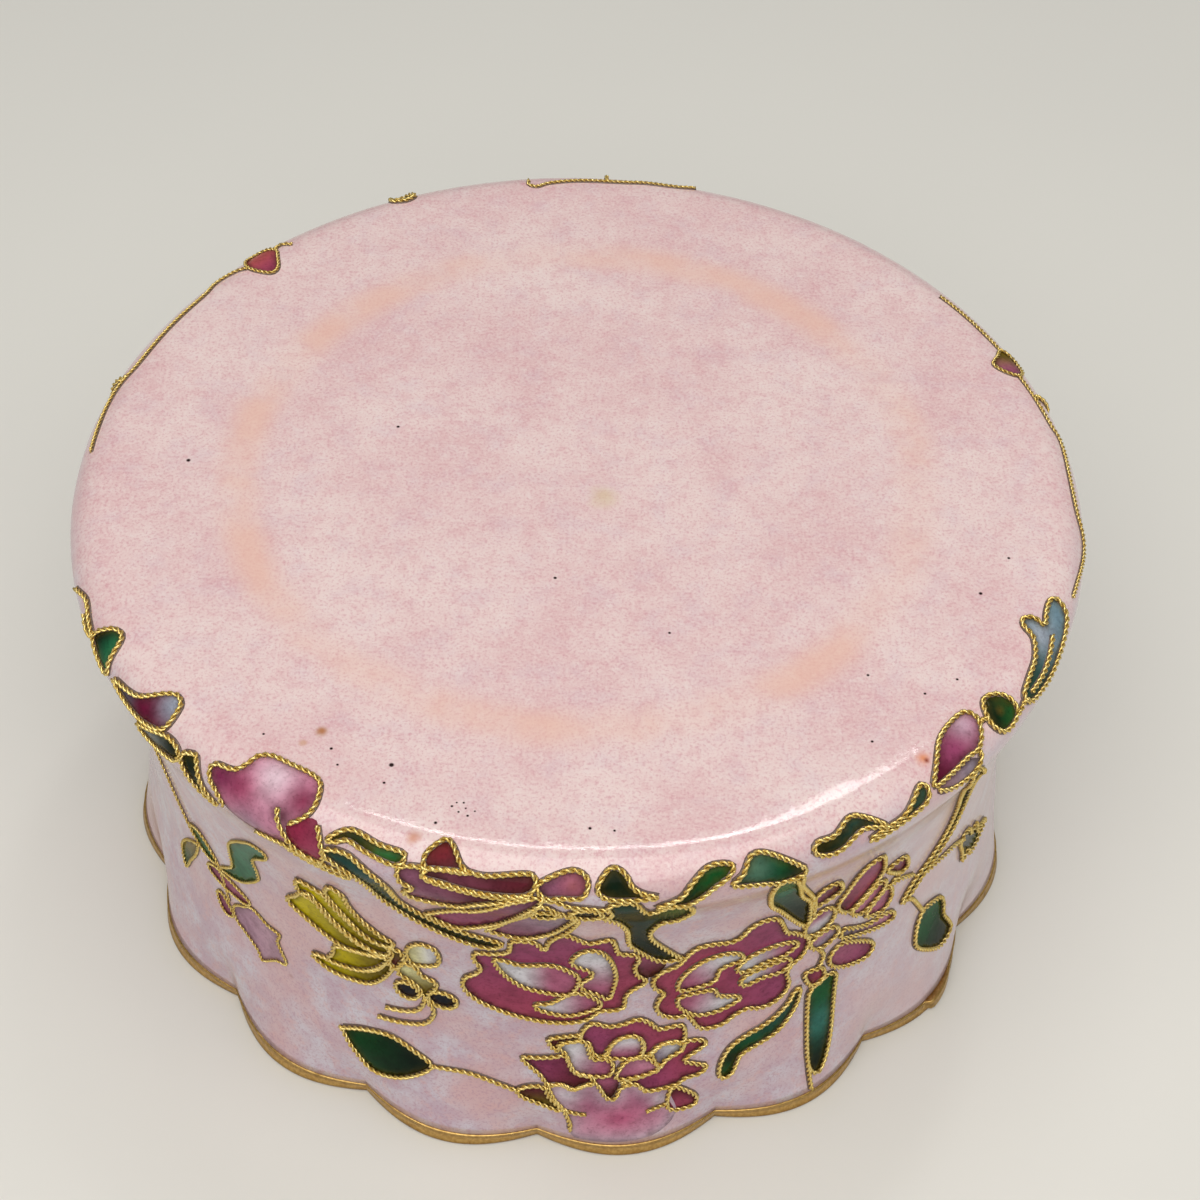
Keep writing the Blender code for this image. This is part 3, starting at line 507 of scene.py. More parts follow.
NETS["front_bouquet"] = [
    # Left peony
    cell([(-56, 332), (-53, 352), (-46, 358), (-32, 357), (-23, 343), (-18, 362), (-5, 379), (15, 360),
        (34, 366), (40, 354), (44, 335), (59, 329), (63, 318), (60, 305), (63, 289), (72, 275), (59, 262),
        (53, 250), (52, 234), (42, 229), (30, 229), (18, 216), (3, 210), (-25, 210), (-60, 219),
        (-88, 233), (-101, 250), (-99, 268), (-88, 280), (-83, 292), (-89, 306), (-86, 320), (-70, 324)],
        MAGENTA, CRIMSON, -70),
    cell([(-70, 312), (-60, 313), (-45, 308), (-20, 312), (-5, 305), (8, 290), (6, 270), (-4, 258),
        (-35, 264), (-50, 273), (-63, 290)], WHITE, ORCHID, level=1, hold=0.3),
    cell([(2, 316), (6, 334), (17, 343), (29, 337), (38, 318), (43, 290), (41, 266), (37, 250), (26, 259),
        (13, 268), (11, 279), (20, 291), (19, 301)], ORCHID, WHITE, 90, level=2),
    cell([(-31, 239), (-18, 242), (2, 260), (16, 258), (28, 246), (28, 236), (0, 222), (-29, 230)], WHITE,
        ORCHID, level=1),
    cell([(64, 328), (88, 306), (86, 292), (74, 280), (63, 294)], ORCHID, MAROON, -60, wired=False),
    # Right peony
    cell([(79, 276), (86, 289), (101, 298), (110, 316), (119, 326), (133, 326), (148, 322), (159, 327),
        (166, 340), (176, 347), (190, 344), (198, 333), (209, 304), (219, 296), (237, 272), (233, 248),
        (222, 238), (218, 225), (222, 208), (218, 193), (205, 183), (190, 183), (178, 189), (165, 185),
        (154, 176), (140, 174), (128, 179), (116, 202), (102, 205), (90, 212), (84, 225), (86, 239),
        (90, 250), (81, 260)], CRIMSON, MAGENTA, 10),
    cell([(106, 250), (104, 265), (113, 284), (129, 298), (148, 300), (163, 291), (165, 280), (150, 277),
        (143, 271), (140, 256), (128, 251)], ORCHID, WHITE, 30, level=1),
    cell([(108, 239), (139, 239), (146, 226), (168, 214), (162, 206), (145, 200), (126, 201), (112, 213),
        (105, 226)], ORCHID, WHITE, -20, level=1),
    cell([(163, 270), (175, 282), (195, 286), (214, 282), (225, 272), (210, 261), (190, 261), (170, 256),
        (162, 262)], WHITE, ORCHID, level=1),
    cell([(167, 239), (176, 250), (213, 253), (220, 243), (210, 233), (190, 235), (173, 231)], WHITE,
        ORCHID, level=1),
    # Rose below them, its pale base running down to the rim
    cell([(12, 180), (14, 196), (23, 208), (38, 202), (52, 204), (66, 210), (78, 202), (88, 189),
        (104, 190), (113, 185), (113, 162), (94, 163), (82, 152), (72, 149), (73, 166), (66, 181),
        (52, 181), (42, 170), (37, 154), (25, 156), (20, 174)], MAGENTA, CRIMSON, 30),
    cell([(-9, 166), (-2, 176), (16, 176), (23, 150), (36, 148), (44, 138), (38, 122), (7, 129),
        (-2, 156)], WHITE, ORCHID, -30, level=1),
    cell([(37, 152), (42, 170), (52, 181), (66, 181), (74, 166), (71, 150), (60, 146)], ORCHID, WHITE, 90,
        level=1),
    cell([(50, 116), (51, 132), (60, 144), (76, 144), (89, 124)], ORCHID, ROSY, 60, level=1),
    cell([(82, 150), (90, 162), (106, 163), (113, 154), (109, 146), (96, 137), (89, 129)], GREY, WHITE, 30,
        level=1),
    cell(ROSE_BASE + [(104, 74), (108, 54), (100, 34), (76, 22), (18, 20), (5, 24), (2, 45), (-4, 69),
        (-12, 84)], ORCHID, ROSY, -90, edge=WALL_MAUVE, dark=1.0, wired=False, soft=1.0,
        blots=((26, 80, 15, MAGENTA), (74, 80, 15, MAGENTA), (-2, 94, 15, WHITE), (96, 78, 12, WHITE),
        (52, 54, 18, paint(190, 92, 128)))),
    cell([(-45, 146), (-28, 149), (-12, 152), (-3, 154), (7, 129), (21, 122), (26, 112), (14, 108),
        (6, 103), (-6, 110), (-19, 109), (-27, 123)], MAGENTA, MAROON, -20),
    cell([(-19, 174), (-16, 182), (10, 188), (9, 179), (-8, 174), (-11, 162)], MAROON),
    cell([(52, 112), (70, 116), (89, 126), (98, 139), (112, 148), (116, 160), (130, 158), (136, 149),
        (115, 132), (125, 123), (138, 115), (130, 106), (116, 104), (106, 97), (78, 94), (68, 105)],
        MAGENTA, CRIMSON, 20),
    cell([(-49, 96), (-36, 105), (-23, 104), (-18, 90), (-6, 66), (-40, 83)], MAROON, BRONZE, -90),
    cell([(103, 93), (122, 79), (129, 65), (124, 54), (100, 60)], MAROON, CRIMSON, -90),
    cell([(26, 113), (38, 121), (51, 114), (43, 88), (34, 96)], ORCHID, MAROON, -90, wired=False),
    wire(*ROSE_BASE),
    wire((-19, 106), (-12, 84), (-4, 69), (3, 45), (3, 32)),
    wire((-4, 69), (6, 64), (19, 62)),
    wire((99, 69), (88, 66), (78, 62)),
    # Low leaf on the left
    leaf([(-234, 114), (-234, 114), (-210, 127), (-180, 134), (-155, 124), (-135, 108), (-155, 84),
        (-180, 69), (-203, 67), (-220, 89)], paint(6, 60, 24), PINE),
    wire((-135, 108), (-95, 111), (-49, 96)),
    # Dark leaves between the peonies
    leaf([(30, 459), (50, 462), (63, 441), (79, 450), (94, 445), (101, 432), (101, 418), (91, 402),
        (76, 398), (71, 364), (96, 320), (104, 311), (82, 312), (58, 342), (52, 356), (49, 386), (40, 410),
        (28, 429), (33, 442)], PINE, paint(24, 58, 44), 90, blots=((88, 434, 16, LEAF),
        (56, 420, 16, PINE))),
    leaf([(21, 477), (30, 493), (38, 494), (45, 487), (49, 478), (58, 471), (69, 466), (33, 467)], PINE),
    leaf([(69, 452), (88, 463), (96, 474), (110, 486), (122, 488), (133, 484), (127, 475), (114, 467),
        (94, 450), (80, 452)], PINE, LEAF, 30),
    # Leaves and stem right of them
    leaf([(131, 466), (140, 475), (150, 489), (166, 486), (193, 464), (190, 454), (172, 453), (156, 459)],
        TEAL, LEAF, blots=((152, 476, 11, MOSS), (186, 460, 10, PINE))),
    leaf([(174, 452), (170, 436), (179, 384), (192, 360), (218, 316), (230, 304), (229, 330), (224, 354),
        (210, 380), (196, 428), (186, 448)], paint(20, 84, 60), PINE, -90,
        blots=((186, 416, 24, paint(28, 112, 78)),)),
    wire((193, 454), (198, 430), (206, 404), (229, 353), (234, 320)),
    # Leaves left of them
    leaf([(-208, 464), (-196, 472), (-178, 469), (-154, 445), (-148, 400), (-110, 366), (-66, 350),
        (-63, 342), (-73, 335), (-95, 338), (-120, 349), (-145, 366), (-163, 386), (-173, 406),
        (-178, 430), (-186, 446)], PINE, TEAL, 110),
    leaf([(-244, 446), (-205, 442), (-188, 436), (-196, 424), (-218, 426), (-236, 434)], PINE),
    # Petals, bud and greyed sepals that crown the left peony and lap over the edge
    cell([(-119, 481), (-121, 492), (-109, 507), (-101, 504), (-91, 489), (-84, 483), (-104, 482)],
        paint(130, 36, 46), MAROON, -60),
    cell([(-119, 480), (-88, 484), (-69, 483), (-32, 488), (-34, 471), (-68, 467), (-106, 471),
        (-118, 472)], paint(134, 72, 94), MAROON),
    cell([(-140, 476), (-119, 480), (-118, 471), (-68, 465), (-49, 466), (-34, 469), (-76, 450),
        (-94, 436), (-130, 432), (-138, 444), (-129, 456), (-140, 462)], PLUM, MAROON, -20),
    cell([(-126, 384), (-122, 392), (-94, 420), (-82, 427), (-54, 456), (-36, 465), (-26, 469), (-24, 463),
        (-38, 442), (-57, 403), (-92, 372), (-109, 371)], MAGENTA, PLUM, 50),
    cell([(-74, 376), (-65, 388), (-36, 436), (-25, 458), (-12, 449), (-8, 442), (4, 430), (-11, 391),
        (-27, 373), (-41, 366), (-55, 367)], PLUM, GREY, 60),
    leaf([(-35, 440), (-25, 447), (-10, 444), (-15, 434), (-25, 432)], PINE, level=1),
    leaf([(-1, 445), (5, 452), (17, 453), (26, 442), (18, 432), (6, 434)], NAVY),
    wire((-25, 466), (-12, 465), (-1, 459), (15, 456), (30, 452)),
    wire((-8, 446), (6, 424), (2, 400), (-7, 379)),
    # Small flower seen from the side, its petals spread upwards and to the right
    cell([(228, 342), (229, 358), (238, 372), (252, 369), (259, 346), (234, 335)], PLUM, MAROON),
    cell([(263, 314), (269, 334), (281, 373), (295, 379), (304, 368), (312, 328), (286, 289), (272, 294)],
        CRIMSON, MAGENTA, 80, blots=((274, 304, 14, WINE),)),
    cell([(320, 326), (333, 332), (346, 326), (354, 302), (344, 299)], PLUM, MAGENTA),
    cell([(232, 282), (230, 302), (238, 316), (250, 319), (261, 307), (261, 288), (247, 276)], ROSY, WHITE,
        -60, blots=((244, 308, 9, MAGENTA),)),
    cell([(240, 262), (250, 272), (266, 272), (274, 258), (262, 246), (248, 246)], ROSY, GREY, -60),
    cell([(308, 258), (326, 284), (336, 282), (342, 262), (336, 246), (322, 246)], ORCHID, ROSY, 60),
    cell([(280, 256), (296, 246), (316, 236), (334, 234), (350, 226), (354, 214), (338, 214), (296, 232),
        (280, 242)], GREY, ROSY),
    cell([(286, 282), (298, 294), (312, 308), (324, 304), (324, 288), (310, 272), (296, 268)], ROSY,
        ORCHID, 50),
    cell([(270, 222), (284, 230), (318, 205), (329, 188), (320, 176), (297, 182), (280, 192), (270, 206)],
        ORCHID, MAGENTA, -40),
    cell([(240, 208), (252, 209), (263, 202), (264, 184), (250, 183)], WINE, CRIMSON),
    wire((252, 244), (260, 228), (256, 210)),
    wire((354, 300), (336, 288), (354, 280), (374, 266)),
    # Large shaded petal with a red one tucked under its right end, over the edge
    cell(PETAL_RIM + [(-246, 466), (-242, 454), (-252, 449), (-266, 443), (-280, 439), (-298, 442)],
        paint(204, 128, 156), ROSY, -50, dark=0.4, wired=False,
        blots=((-274, 506, 20, paint(232, 204, 214)), (-298, 482, 18, paint(176, 78, 112)),
        (-318, 482, 15, paint(124, 44, 80)), (-239, 499, 15, paint(140, 56, 84)),
        (-253, 480, 7, paint(80, 36, 44)), (-284, 452, 18, paint(178, 134, 156)))),
    wire(*PETAL_RIM),
    wire((-280, 439), (-264, 444), (-246, 447), (-228, 439), (-210, 433)),
    wire((-256, 485), (-253, 476), (-246, 466), (-235, 450), (-222, 438)),
    cell([(-244, 473), (-236, 481), (-226, 489), (-217, 486), (-208, 458), (-213, 444), (-223, 444),
        (-236, 454)], paint(158, 48, 80), CRIMSON, dark=0.3, wired=False),
    wire((-217, 486), (-211, 474), (-208, 458), (-213, 444)),
]

NETS["curled_leaf"] = [leaf([(237, 188), (235, 166), (226, 147), (210, 131), (177, 119), (170, 108),
    (165, 94), (157, 87), (151, 96), (153, 115), (162, 133), (178, 144), (196, 150), (212, 159),
    (224, 172), (230, 186)], LEAF, TEAL, 60, blots=((164, 116, 12, PINE),))]

NETS["long_leaf"] = [
    leaf([(250, 174), (264, 186), (278, 184), (281, 166), (276, 81), (264, 40), (250, 60), (248, 150)],
        LEAF, PINE, -90, hold=0.1, blots=((265, 114, 24, paint(56, 116, 104)),)),
    wire((250, 60), (251, 46), (253, 19)),
]

NETS["butterfly_front"] = [
    leaf([(-288, 285), (-274, 304), (-266, 317), (-254, 323), (-243, 303), (-226, 284), (-206, 270),
        (-185, 266), (-226, 253), (-272, 272)], OLIVE, BRONZE),
    leaf([(-266, 318), (-269, 330), (-262, 343), (-236, 340), (-230, 326), (-202, 294), (-186, 287),
        (-174, 286), (-176, 272), (-190, 268), (-213, 277), (-233, 294), (-248, 314)], OLIVE, BRONZE),
    leaf([(-232, 340), (-229, 358), (-222, 366), (-212, 358), (-209, 340), (-200, 322), (-184, 306),
        (-168, 296), (-178, 287), (-196, 289), (-212, 306)], OLIVE, BRONZE, -40),
    leaf([(-240, 230), (-236, 246), (-218, 253), (-195, 259), (-178, 264), (-184, 246), (-196, 232),
        (-215, 222), (-246, 216)], OLIVE, BRONZE),
    leaf([(-266, 208), (-256, 215), (-234, 217), (-210, 224), (-192, 238), (-178, 256), (-172, 252),
        (-182, 229), (-198, 209), (-220, 201), (-246, 199)], BRONZE, OLIVE, 180),
    cell([(-174, 286), (-162, 284), (-160, 270), (-166, 256), (-174, 250), (-175, 264), (-171, 274)],
        BRONZE, MAROON, -90),
    cell([(-162, 266), (-148, 264), (-143, 254), (-130, 248), (-129, 238), (-136, 226), (-141, 214),
        (-146, 229), (-156, 239), (-167, 246)], CREAM, BRONZE, -70, dark=0.4),
    cell([(-156, 284), (-152, 300), (-140, 312), (-127, 309), (-123, 292), (-128, 278), (-150, 270)],
        CREAM, WHITE, dark=0.3),
    cell(oval(-159, 220, 12.5, 13), NAVY),
    cell(oval(-123, 220, 14.5, 12.5), NAVY),
    wire((-141, 214), (-143, 203), (-150, 190), (-164, 182), (-184, 177)),
    wire((-141, 214), (-134, 203), (-133, 189), (-142, 172), (-165, 162), (-193, 157)),
]

NETS["left_bud"] = thinner([
    leaf([(-306, 356), (-325, 350), (-363, 308), (-370, 263), (-379, 250), (-394, 234), (-360, 246),
        (-330, 276), (-326, 294), (-328, 312), (-319, 326), (-304, 340), (-301, 350)], paint(42, 108, 72),
        paint(66, 120, 90), 60),
    cell([(-380, 185), (-360, 204), (-346, 213), (-326, 205), (-310, 203), (-314, 186), (-304, 160),
        (-318, 154), (-338, 137), (-345, 147), (-362, 158), (-378, 166)], paint(176, 136, 156),
        paint(192, 156, 170), dark=0.4),
    cell([(-422, 212), (-405, 225), (-380, 228), (-354, 223), (-352, 214), (-370, 207), (-410, 204)],
        MAGENTA, ORCHID),
    cell([(-399, 186), (-410, 179), (-406, 164), (-394, 158), (-382, 168)], MAGENTA),
    leaf([(-450, 246), (-430, 258), (-412, 250), (-400, 236), (-415, 229), (-436, 233)], LEAF),
    leaf([(-440, 225), (-470, 200), (-488, 170), (-480, 146), (-466, 170), (-448, 200)], BRONZE, LEAF,
        -60),
    wire((-445, 235), (-480, 270), (-510, 310)),
    wire((-400, 236), (-394, 216), (-388, 184)),
], 0.7)

# Buds at the edge on the right, with a double stem down to two dark leaves
NETS["right_spray"] = [
    cell([(328, 479), (334, 489), (362, 511), (396, 515), (404, 504), (398, 492), (386, 482), (370, 482),
        (350, 480)], WINE, ORCHID, 30, hold=0.1, dark=0.5, blots=((388, 508, 15, paint(202, 166, 182)),
        (364, 494, 12, MAGENTA))),
    cell([(330, 475), (350, 478), (372, 479), (384, 470), (370, 462), (350, 462), (332, 468)],
        paint(186, 148, 160), GREY, wired=False),
    wire((386, 480), (382, 470), (368, 464), (346, 466), (330, 474)),
    leaf([(411, 489), (416, 502), (426, 509), (438, 504), (445, 492), (443, 478), (430, 473), (418, 476)],
        PINE, LEAF, -30, blots=((430, 492, 5, OCHRE_EDGE),)),
    leaf([(256, 466), (275, 469), (292, 472), (313, 487), (320, 484), (318, 474), (306, 468), (264, 462)],
        PINE, TEAL),
    wire((403, 498), (412, 496)),
    leaf([(374, 462), (386, 458), (406, 424), (426, 388), (438, 348), (442, 310), (436, 280), (416, 260),
        (394, 246), (372, 226), (364, 230), (378, 252), (402, 270), (419, 294), (422, 324), (412, 360),
        (378, 436)], PINE, paint(52, 74, 36), -60),
    leaf([(409, 169), (442, 158), (452, 140), (453, 120), (463, 100), (470, 82), (460, 74), (440, 79),
        (406, 112), (399, 136)], LEAF, PINE, -60),
    wire((409, 170), (398, 190), (384, 214), (372, 226)),
    wire((394, 246), (424, 240), (456, 230), (482, 212)),
    leaf([(474, 214), (484, 220), (498, 212), (506, 196), (524, 192), (532, 170), (550, 162), (568, 148),
        (544, 149), (532, 148), (514, 154), (508, 166), (492, 166), (486, 186)], PINE, paint(20, 58, 34),
        -40),
]

NETS["small_bud"] = [cell([(-27, 480), (-1, 493), (13, 486), (9, 470), (-9, 469), (-20, 468)], PLUM,
    ORCHID, blots=((2, 480, 8, paint(178, 104, 112)),))]

NETS["edge_spot_left"] = [
    leaf([(-524, 474), (-515, 494), (-506, 501), (-498, 501), (-492, 494), (-486, 476), (-484, 468),
        (-494, 464)], PINE, paint(44, 120, 80)),
    wire((-524, 474), (-542, 478), (-556, 482), (-568, 482), (-589, 472)),
    wire((-526, 472), (-540, 469), (-554, 474)),
]

NETS["edge_cells_left"] = [
    cell([(-472, 472), (-436, 483), (-412, 506), (-402, 510), (-392, 502), (-393, 480), (-428, 468)],
        paint(96, 92, 108), WINE, hold=0.3, dark=0.4, blots=((-398, 504, 16, paint(172, 182, 198)),
        (-426, 478, 13, WINE))),
    leaf([(-426, 460), (-406, 470), (-386, 478), (-372, 478), (-365, 472), (-369, 464), (-380, 459),
        (-416, 454)], paint(150, 156, 156), PINE),
    leaf([(-362, 476), (-353, 482), (-346, 481), (-330, 452), (-324, 440), (-336, 438), (-358, 464)],
        PINE),
]

NETS["edge_leaf_left"] = [leaf([(-206, 478), (-189, 493), (-161, 489), (-140, 488), (-138, 482),
    (-146, 476), (-172, 480), (-188, 484), (-198, 479)], PINE, LEAF,
    blots=((-156, 484, 12, paint(40, 116, 62)),))]

NETS["edge_leaf_right"] = [leaf([(203, 476), (208, 483), (224, 483), (246, 492), (273, 470), (250, 478),
    (226, 468), (212, 469)], PINE, TEAL)]

NETS["edge_wave_right"] = [
    leaf([(460, 483), (477, 489), (500, 494), (519, 504), (527, 516), (536, 520), (542, 512), (540, 500),
        (556, 503), (573, 503), (576, 494), (562, 480), (511, 469), (484, 469), (464, 473)], TEAL, SKY, 20,
        blots=((528, 500, 18, paint(168, 178, 190)),)),
    wire((536, 489), (515, 483), (494, 479), (470, 479)),
    wire((464, 476), (455, 479), (449, 477), (443, 476)),
]

NETS["edge_leaf_back"] = [leaf([(-1284, 498), (-1272, 506), (-1258, 498), (-1264, 478), (-1278, 478)],
    BRONZE)]

# Plainer flower with two leaves for the back of the wall
BACK_BOUQUET = [
    cell([(-80, 260), (-78, 290), (-58, 314), (-30, 324), (0, 346), (26, 326), (58, 314), (74, 290),
        (80, 264), (64, 238), (54, 214), (30, 214), (6, 202), (-24, 216), (-56, 216), (-72, 236)], MAGENTA,
        CRIMSON, -60),
    cell([(-64, 286), (-44, 300), (-16, 296), (4, 282), (16, 260), (-4, 250), (-30, 248), (-52, 262)],
        WHITE, ORCHID, level=1),
    cell([(20, 310), (40, 302), (56, 278), (52, 254), (36, 240), (28, 266), (16, 288)], ORCHID, WHITE, 90,
        level=1),
    wire((6, 202), (26, 160), (20, 134), (4, 110)),
    leaf([(4, 110), (-16, 126), (-46, 130), (-76, 124), (-100, 112), (-80, 84), (-50, 72), (-20, 84)],
        LEAF, PINE, 180),
    leaf([(26, 160), (56, 166), (86, 150), (106, 124), (120, 90), (86, 106), (54, 126)], PINE, LEAF, -40),
    wire((0, 346), (-12, 400), (-20, 450), (-23, 494)),
]

# Stem along the edge behind, left of the front, with a red bud lapping on the disc
NETS["back_bouquet_left"] = moved(BACK_BOUQUET, -84.0) + thinner([
    wire((-754, 491), (-840, 489), (-885, 498), (-958, 499), (-1006, 499), (-1030, 493), (-1054, 498),
        (-1066, 507)),
    cell([(-1066, 507), (-1074, 531), (-1087, 531), (-1100, 516), (-1108, 502), (-1100, 486),
        (-1080, 486)], paint(196, 92, 88), CRIMSON, 90),
    wire((-1107, 502), (-1118, 498), (-1126, 509)),
], 0.8)

NETS["back_bouquet_right"] = moved(BACK_BOUQUET, 84.0, True) + thinner([
    wire((1035, 502), (990, 499), (969, 498), (936, 496)),
    cell([(936, 495), (926, 506), (915, 517), (900, 510), (894, 498), (904, 486), (924, 484)], BRONZE,
        ORCHID, 180),
    wire((894, 497), (825, 491), (800, 485), (748, 488), (703, 485), (665, 473), (619, 479), (594, 481)),
], 0.8)

NETS["back_bouquet_middle"] = moved(BACK_BOUQUET, 147.6) + thinner([
    wire((1540, 502), (1541, 512), (1532, 518), (1518, 512), (1485, 507), (1435, 506), (1409, 502),
        (1373, 501), (1354, 492)),
    wire((1453, 494), (1452, 506)),
], 0.8)


# Materials

def plug(socket, value):
    """Feed a socket from another socket, or set it."""
    if isinstance(value, bpy.types.NodeSocket):
        socket.id_data.links.new(value, socket)
    elif socket.type == "RGBA":
        socket.default_value = (*value, 1.0)
    else:
        socket.default_value = value


def node(owner, kind, feeds, **settings):
    """Outputs of a new node beside its owner, with its settings and what its sockets are fed."""
    made = owner.id_data.nodes.new("ShaderNode" + kind)
    for key, value in settings.items():
        setattr(made, key, value)
    for key, value in feeds.items():
        plug(made.inputs[key], value)
    return made.outputs


def maths(operation, a, b=0.0):
    return node(a, "Math", {0: a, 1: b}, operation=operation)[0]


def spread(value, low, high, start=0.0, end=1.0):
    """Value taken from the range low to high and laid over start to end."""
    feeds = {"Value": value, "From Min": low, "From Max": high, "To Min": start, "To Max": end}
    return node(value, "MapRange", feeds, interpolation_type="SMOOTHSTEP")["Result"]


def mix(share, first, second, way="MIX"):
    return node(share, "Mix", {0: share, 6: first, 7: second}, data_type="RGBA", blend_type=way)[2]


def layered(base, layers):
    """Tones laid over a base, each as far as its value runs from low to high, up to its share."""
    for value, low, high, share, tone in layers:
        base = mix(spread(value, low, high, 0.0, share), base, tone)
    return base


def grain(place, size, detail=2.0, rough=0.5):
    """Noise whose features are about this many millimetres across."""
    feeds = {"Vector": place, "Scale": 1.0 / (size * MM), "Detail": detail, "Roughness": rough}
    return node(place, "TexNoise", feeds)["Fac"]


def start_material(name):
    material = bpy.data.materials.new(name)
    material.use_nodes = True
    shader = material.node_tree.nodes["Principled BSDF"]
    return material, shader, node(shader, "TexCoord", {})["Object"]


def surface(shader, color, rough, metallic=0.0):
    plug(shader.inputs["Base Color"], color)
    plug(shader.inputs["Roughness"], rough)
    shader.inputs["Metallic"].default_value = metallic


def bump(shader, height, depth):
    feeds = {"Strength": 1.0, "Distance": depth * MM, "Height": height}
    plug(shader.inputs["Normal"], node(shader, "Bump", feeds)["Normal"])


def spot(place, color, at, radius, tone, strength, ragged):
    """Stain or speck at one place of the surface, its outline moved in by ragged."""
    centre = [c * MM for c in at]
    far = node(place, "VectorMath", {0: place, 1: centre}, operation="DISTANCE")["Value"]
    share = spread(maths("ADD", far, ragged), radius * 1.5 * MM, radius * 0.7 * MM, 0.0, strength)
    return mix(share, color, tone)


def pink_enamel():
    """Pale disc stippled and clumped with pink under a faint peach ring; cloudier mauve wall, darker than
    the disc partly as painted shade, and paler towards its right side as painted light.
    """
    material, shader, place = start_material("pink_speckled_enamel")
    x, y, z = node(place, "SeparateXYZ", {0: place})
    clouds = grain(place, 11.0, 3.0, 0.55)
    patches = grain(place, 3.2, 3.0, 0.6)
    clumps = grain(place, 1.3, 3.0, 0.7)
    stipple = grain(place, 0.3, 2.0, 0.7)
    disc = layered(mix(spread(clouds, 0.3, 0.75, 0.15, 0.6), PALE, PINK), (
        (patches, 0.45, 0.75, 0.35, LAVENDER),
        (clumps, 0.47, 0.7, 0.32, paint(214, 154, 162)),
        (clumps, 0.47, 0.26, 0.4, paint(238, 224, 220)),
        (stipple, 0.5, 0.68, 0.5, paint(206, 146, 156)),
        (stipple, 0.48, 0.34, 0.4, PALE)))
    across = maths("SQRT", maths("ADD", maths("MULTIPLY", x, x), maths("MULTIPLY", y, y)))
    off = maths("ABSOLUTE", maths("SUBTRACT", across, RING_RADIUS * MM))
    ring = maths("MULTIPLY", spread(off, RING_HALF * MM, 0.3 * MM, 0.0, 0.6),
                 spread(clouds, 0.35, 0.65, 0.25, 1.0))
    disc = mix(ring, disc, PEACH)
    wall = layered(mix(spread(patches, 0.32, 0.66), WALL_PALE, WALL_MAUVE), (
        (clouds, 0.42, 0.68, 0.75, WALL_BLUSH),
        (clumps, 0.48, 0.7, 0.6, WALL_BLUSH),
        (stipple, 0.48, 0.66, 0.5, paint(182, 140, 156)),
        # Paler towards the right side of the wall: painted light
        (x, 16.0 * MM, 44.0 * MM, 0.5, paint(224, 208, 210))))
    # Disc tones on top, wall tones on the side; the wall's darker tones are partly painted shade
    color = mix(spread(z, 48.3 * MM, 45.5 * MM), disc, wall)
    for at, radius, tone, strength in STAINS:
        ragged = maths("MULTIPLY", patches, 1.2 * radius * MM)
        color = spot(place, color, at, radius, tone, strength, ragged)
    for *at, radius in SPECKS:
        color = spot(place, color, (*at, HEIGHT), radius, SPECK, 1.0, 0.12 * radius * MM)
    surface(shader, color, spread(z, 46.0 * MM, 43.0 * MM, 0.09, 0.16))
    bump(shader, maths("ADD", grain(place, 1.4), maths("MULTIPLY", stipple, 0.22)), 0.02)
    return material


def cell_enamel():
    """Glassy coloured enamel: each cell's own tint, streaked and flecked."""
    material, shader, place = start_material("coloured_enamel")
    tint = node(place, "Attribute", {}, attribute_name="tint")["Color"]
    streaks = spread(grain(place, 1.6, 3.0, 0.6), 0.35, 0.7, 0.0, 0.4)
    flecks = spread(grain(place, 0.3, 2.0, 0.6), 0.5, 0.75, 0.0, 0.4)
    color = mix(streaks, tint, paint(150, 136, 140), "MULTIPLY")
    surface(shader, mix(flecks, color, paint(170, 160, 160), "MULTIPLY"), 0.16)
    shader.inputs["Specular IOR Level"].default_value = 0.04
    bump(shader, grain(place, 0.9), 0.02)
    return material


def twisted_gilt():
    """Bright gilding on the crowns of the strands, brown low down and between them: partly tarnish, partly
    painted shade.
    """
    material, shader, place = start_material("gilt_twisted_wire")
    height = node(place, "Attribute", {}, attribute_name="height")["Fac"]
    wear = grain(place, 0.5)
    color = mix(spread(wear, 0.35, 0.7), paint(255, 230, 150), paint(240, 206, 112))
    tarnish_and_shade = maths("ADD", height, maths("MULTIPLY", wear, 0.14))
    # Brown low on the strands and between them: partly tarnish, partly painted shade
    color = mix(spread(tarnish_and_shade, 0.28, 0.06), color, paint(136, 96, 40))
    surface(shader, color, spread(wear, 0.3, 0.7, 0.28, 0.44), 0.9)
    return material


def dirt_and_shade_by_wire():
    """Dark line along each wire: partly dirt at its foot, partly painted shade beside it."""
    material, shader, place = start_material("wire_dirt_and_shade")
    surface(shader, mix(grain(place, 0.8), paint(84, 66, 58), paint(132, 112, 100)), 0.3)
    return material


def rim_gilt():
    """Satin gilding rubbed brown in patches; painted shade browns it towards the foot all round, the
    notches included.
    """
    material, shader, place = start_material("gilt_rim")
    wear = grain(place, 2.6, 4.0, 0.6)
    fine = grain(place, 0.35)
    low = maths("ADD", node(place, "SeparateXYZ", {0: place})["Z"], maths("MULTIPLY", wear, 0.9 * MM))
    color = layered(mix(spread(fine, 0.3, 0.7), paint(212, 176, 108), paint(186, 148, 86)), (
        # Brown towards the foot of the band: painted shade
        (low, 1.15 * MM, 0.4 * MM, 0.85, paint(136, 98, 42)),
        (wear, 0.6, 0.74, 0.5, paint(112, 80, 40))))
    surface(shader, color, spread(wear, 0.3, 0.7, 0.26, 0.42), 1.0)
    bump(shader, fine, 0.01)
    return material


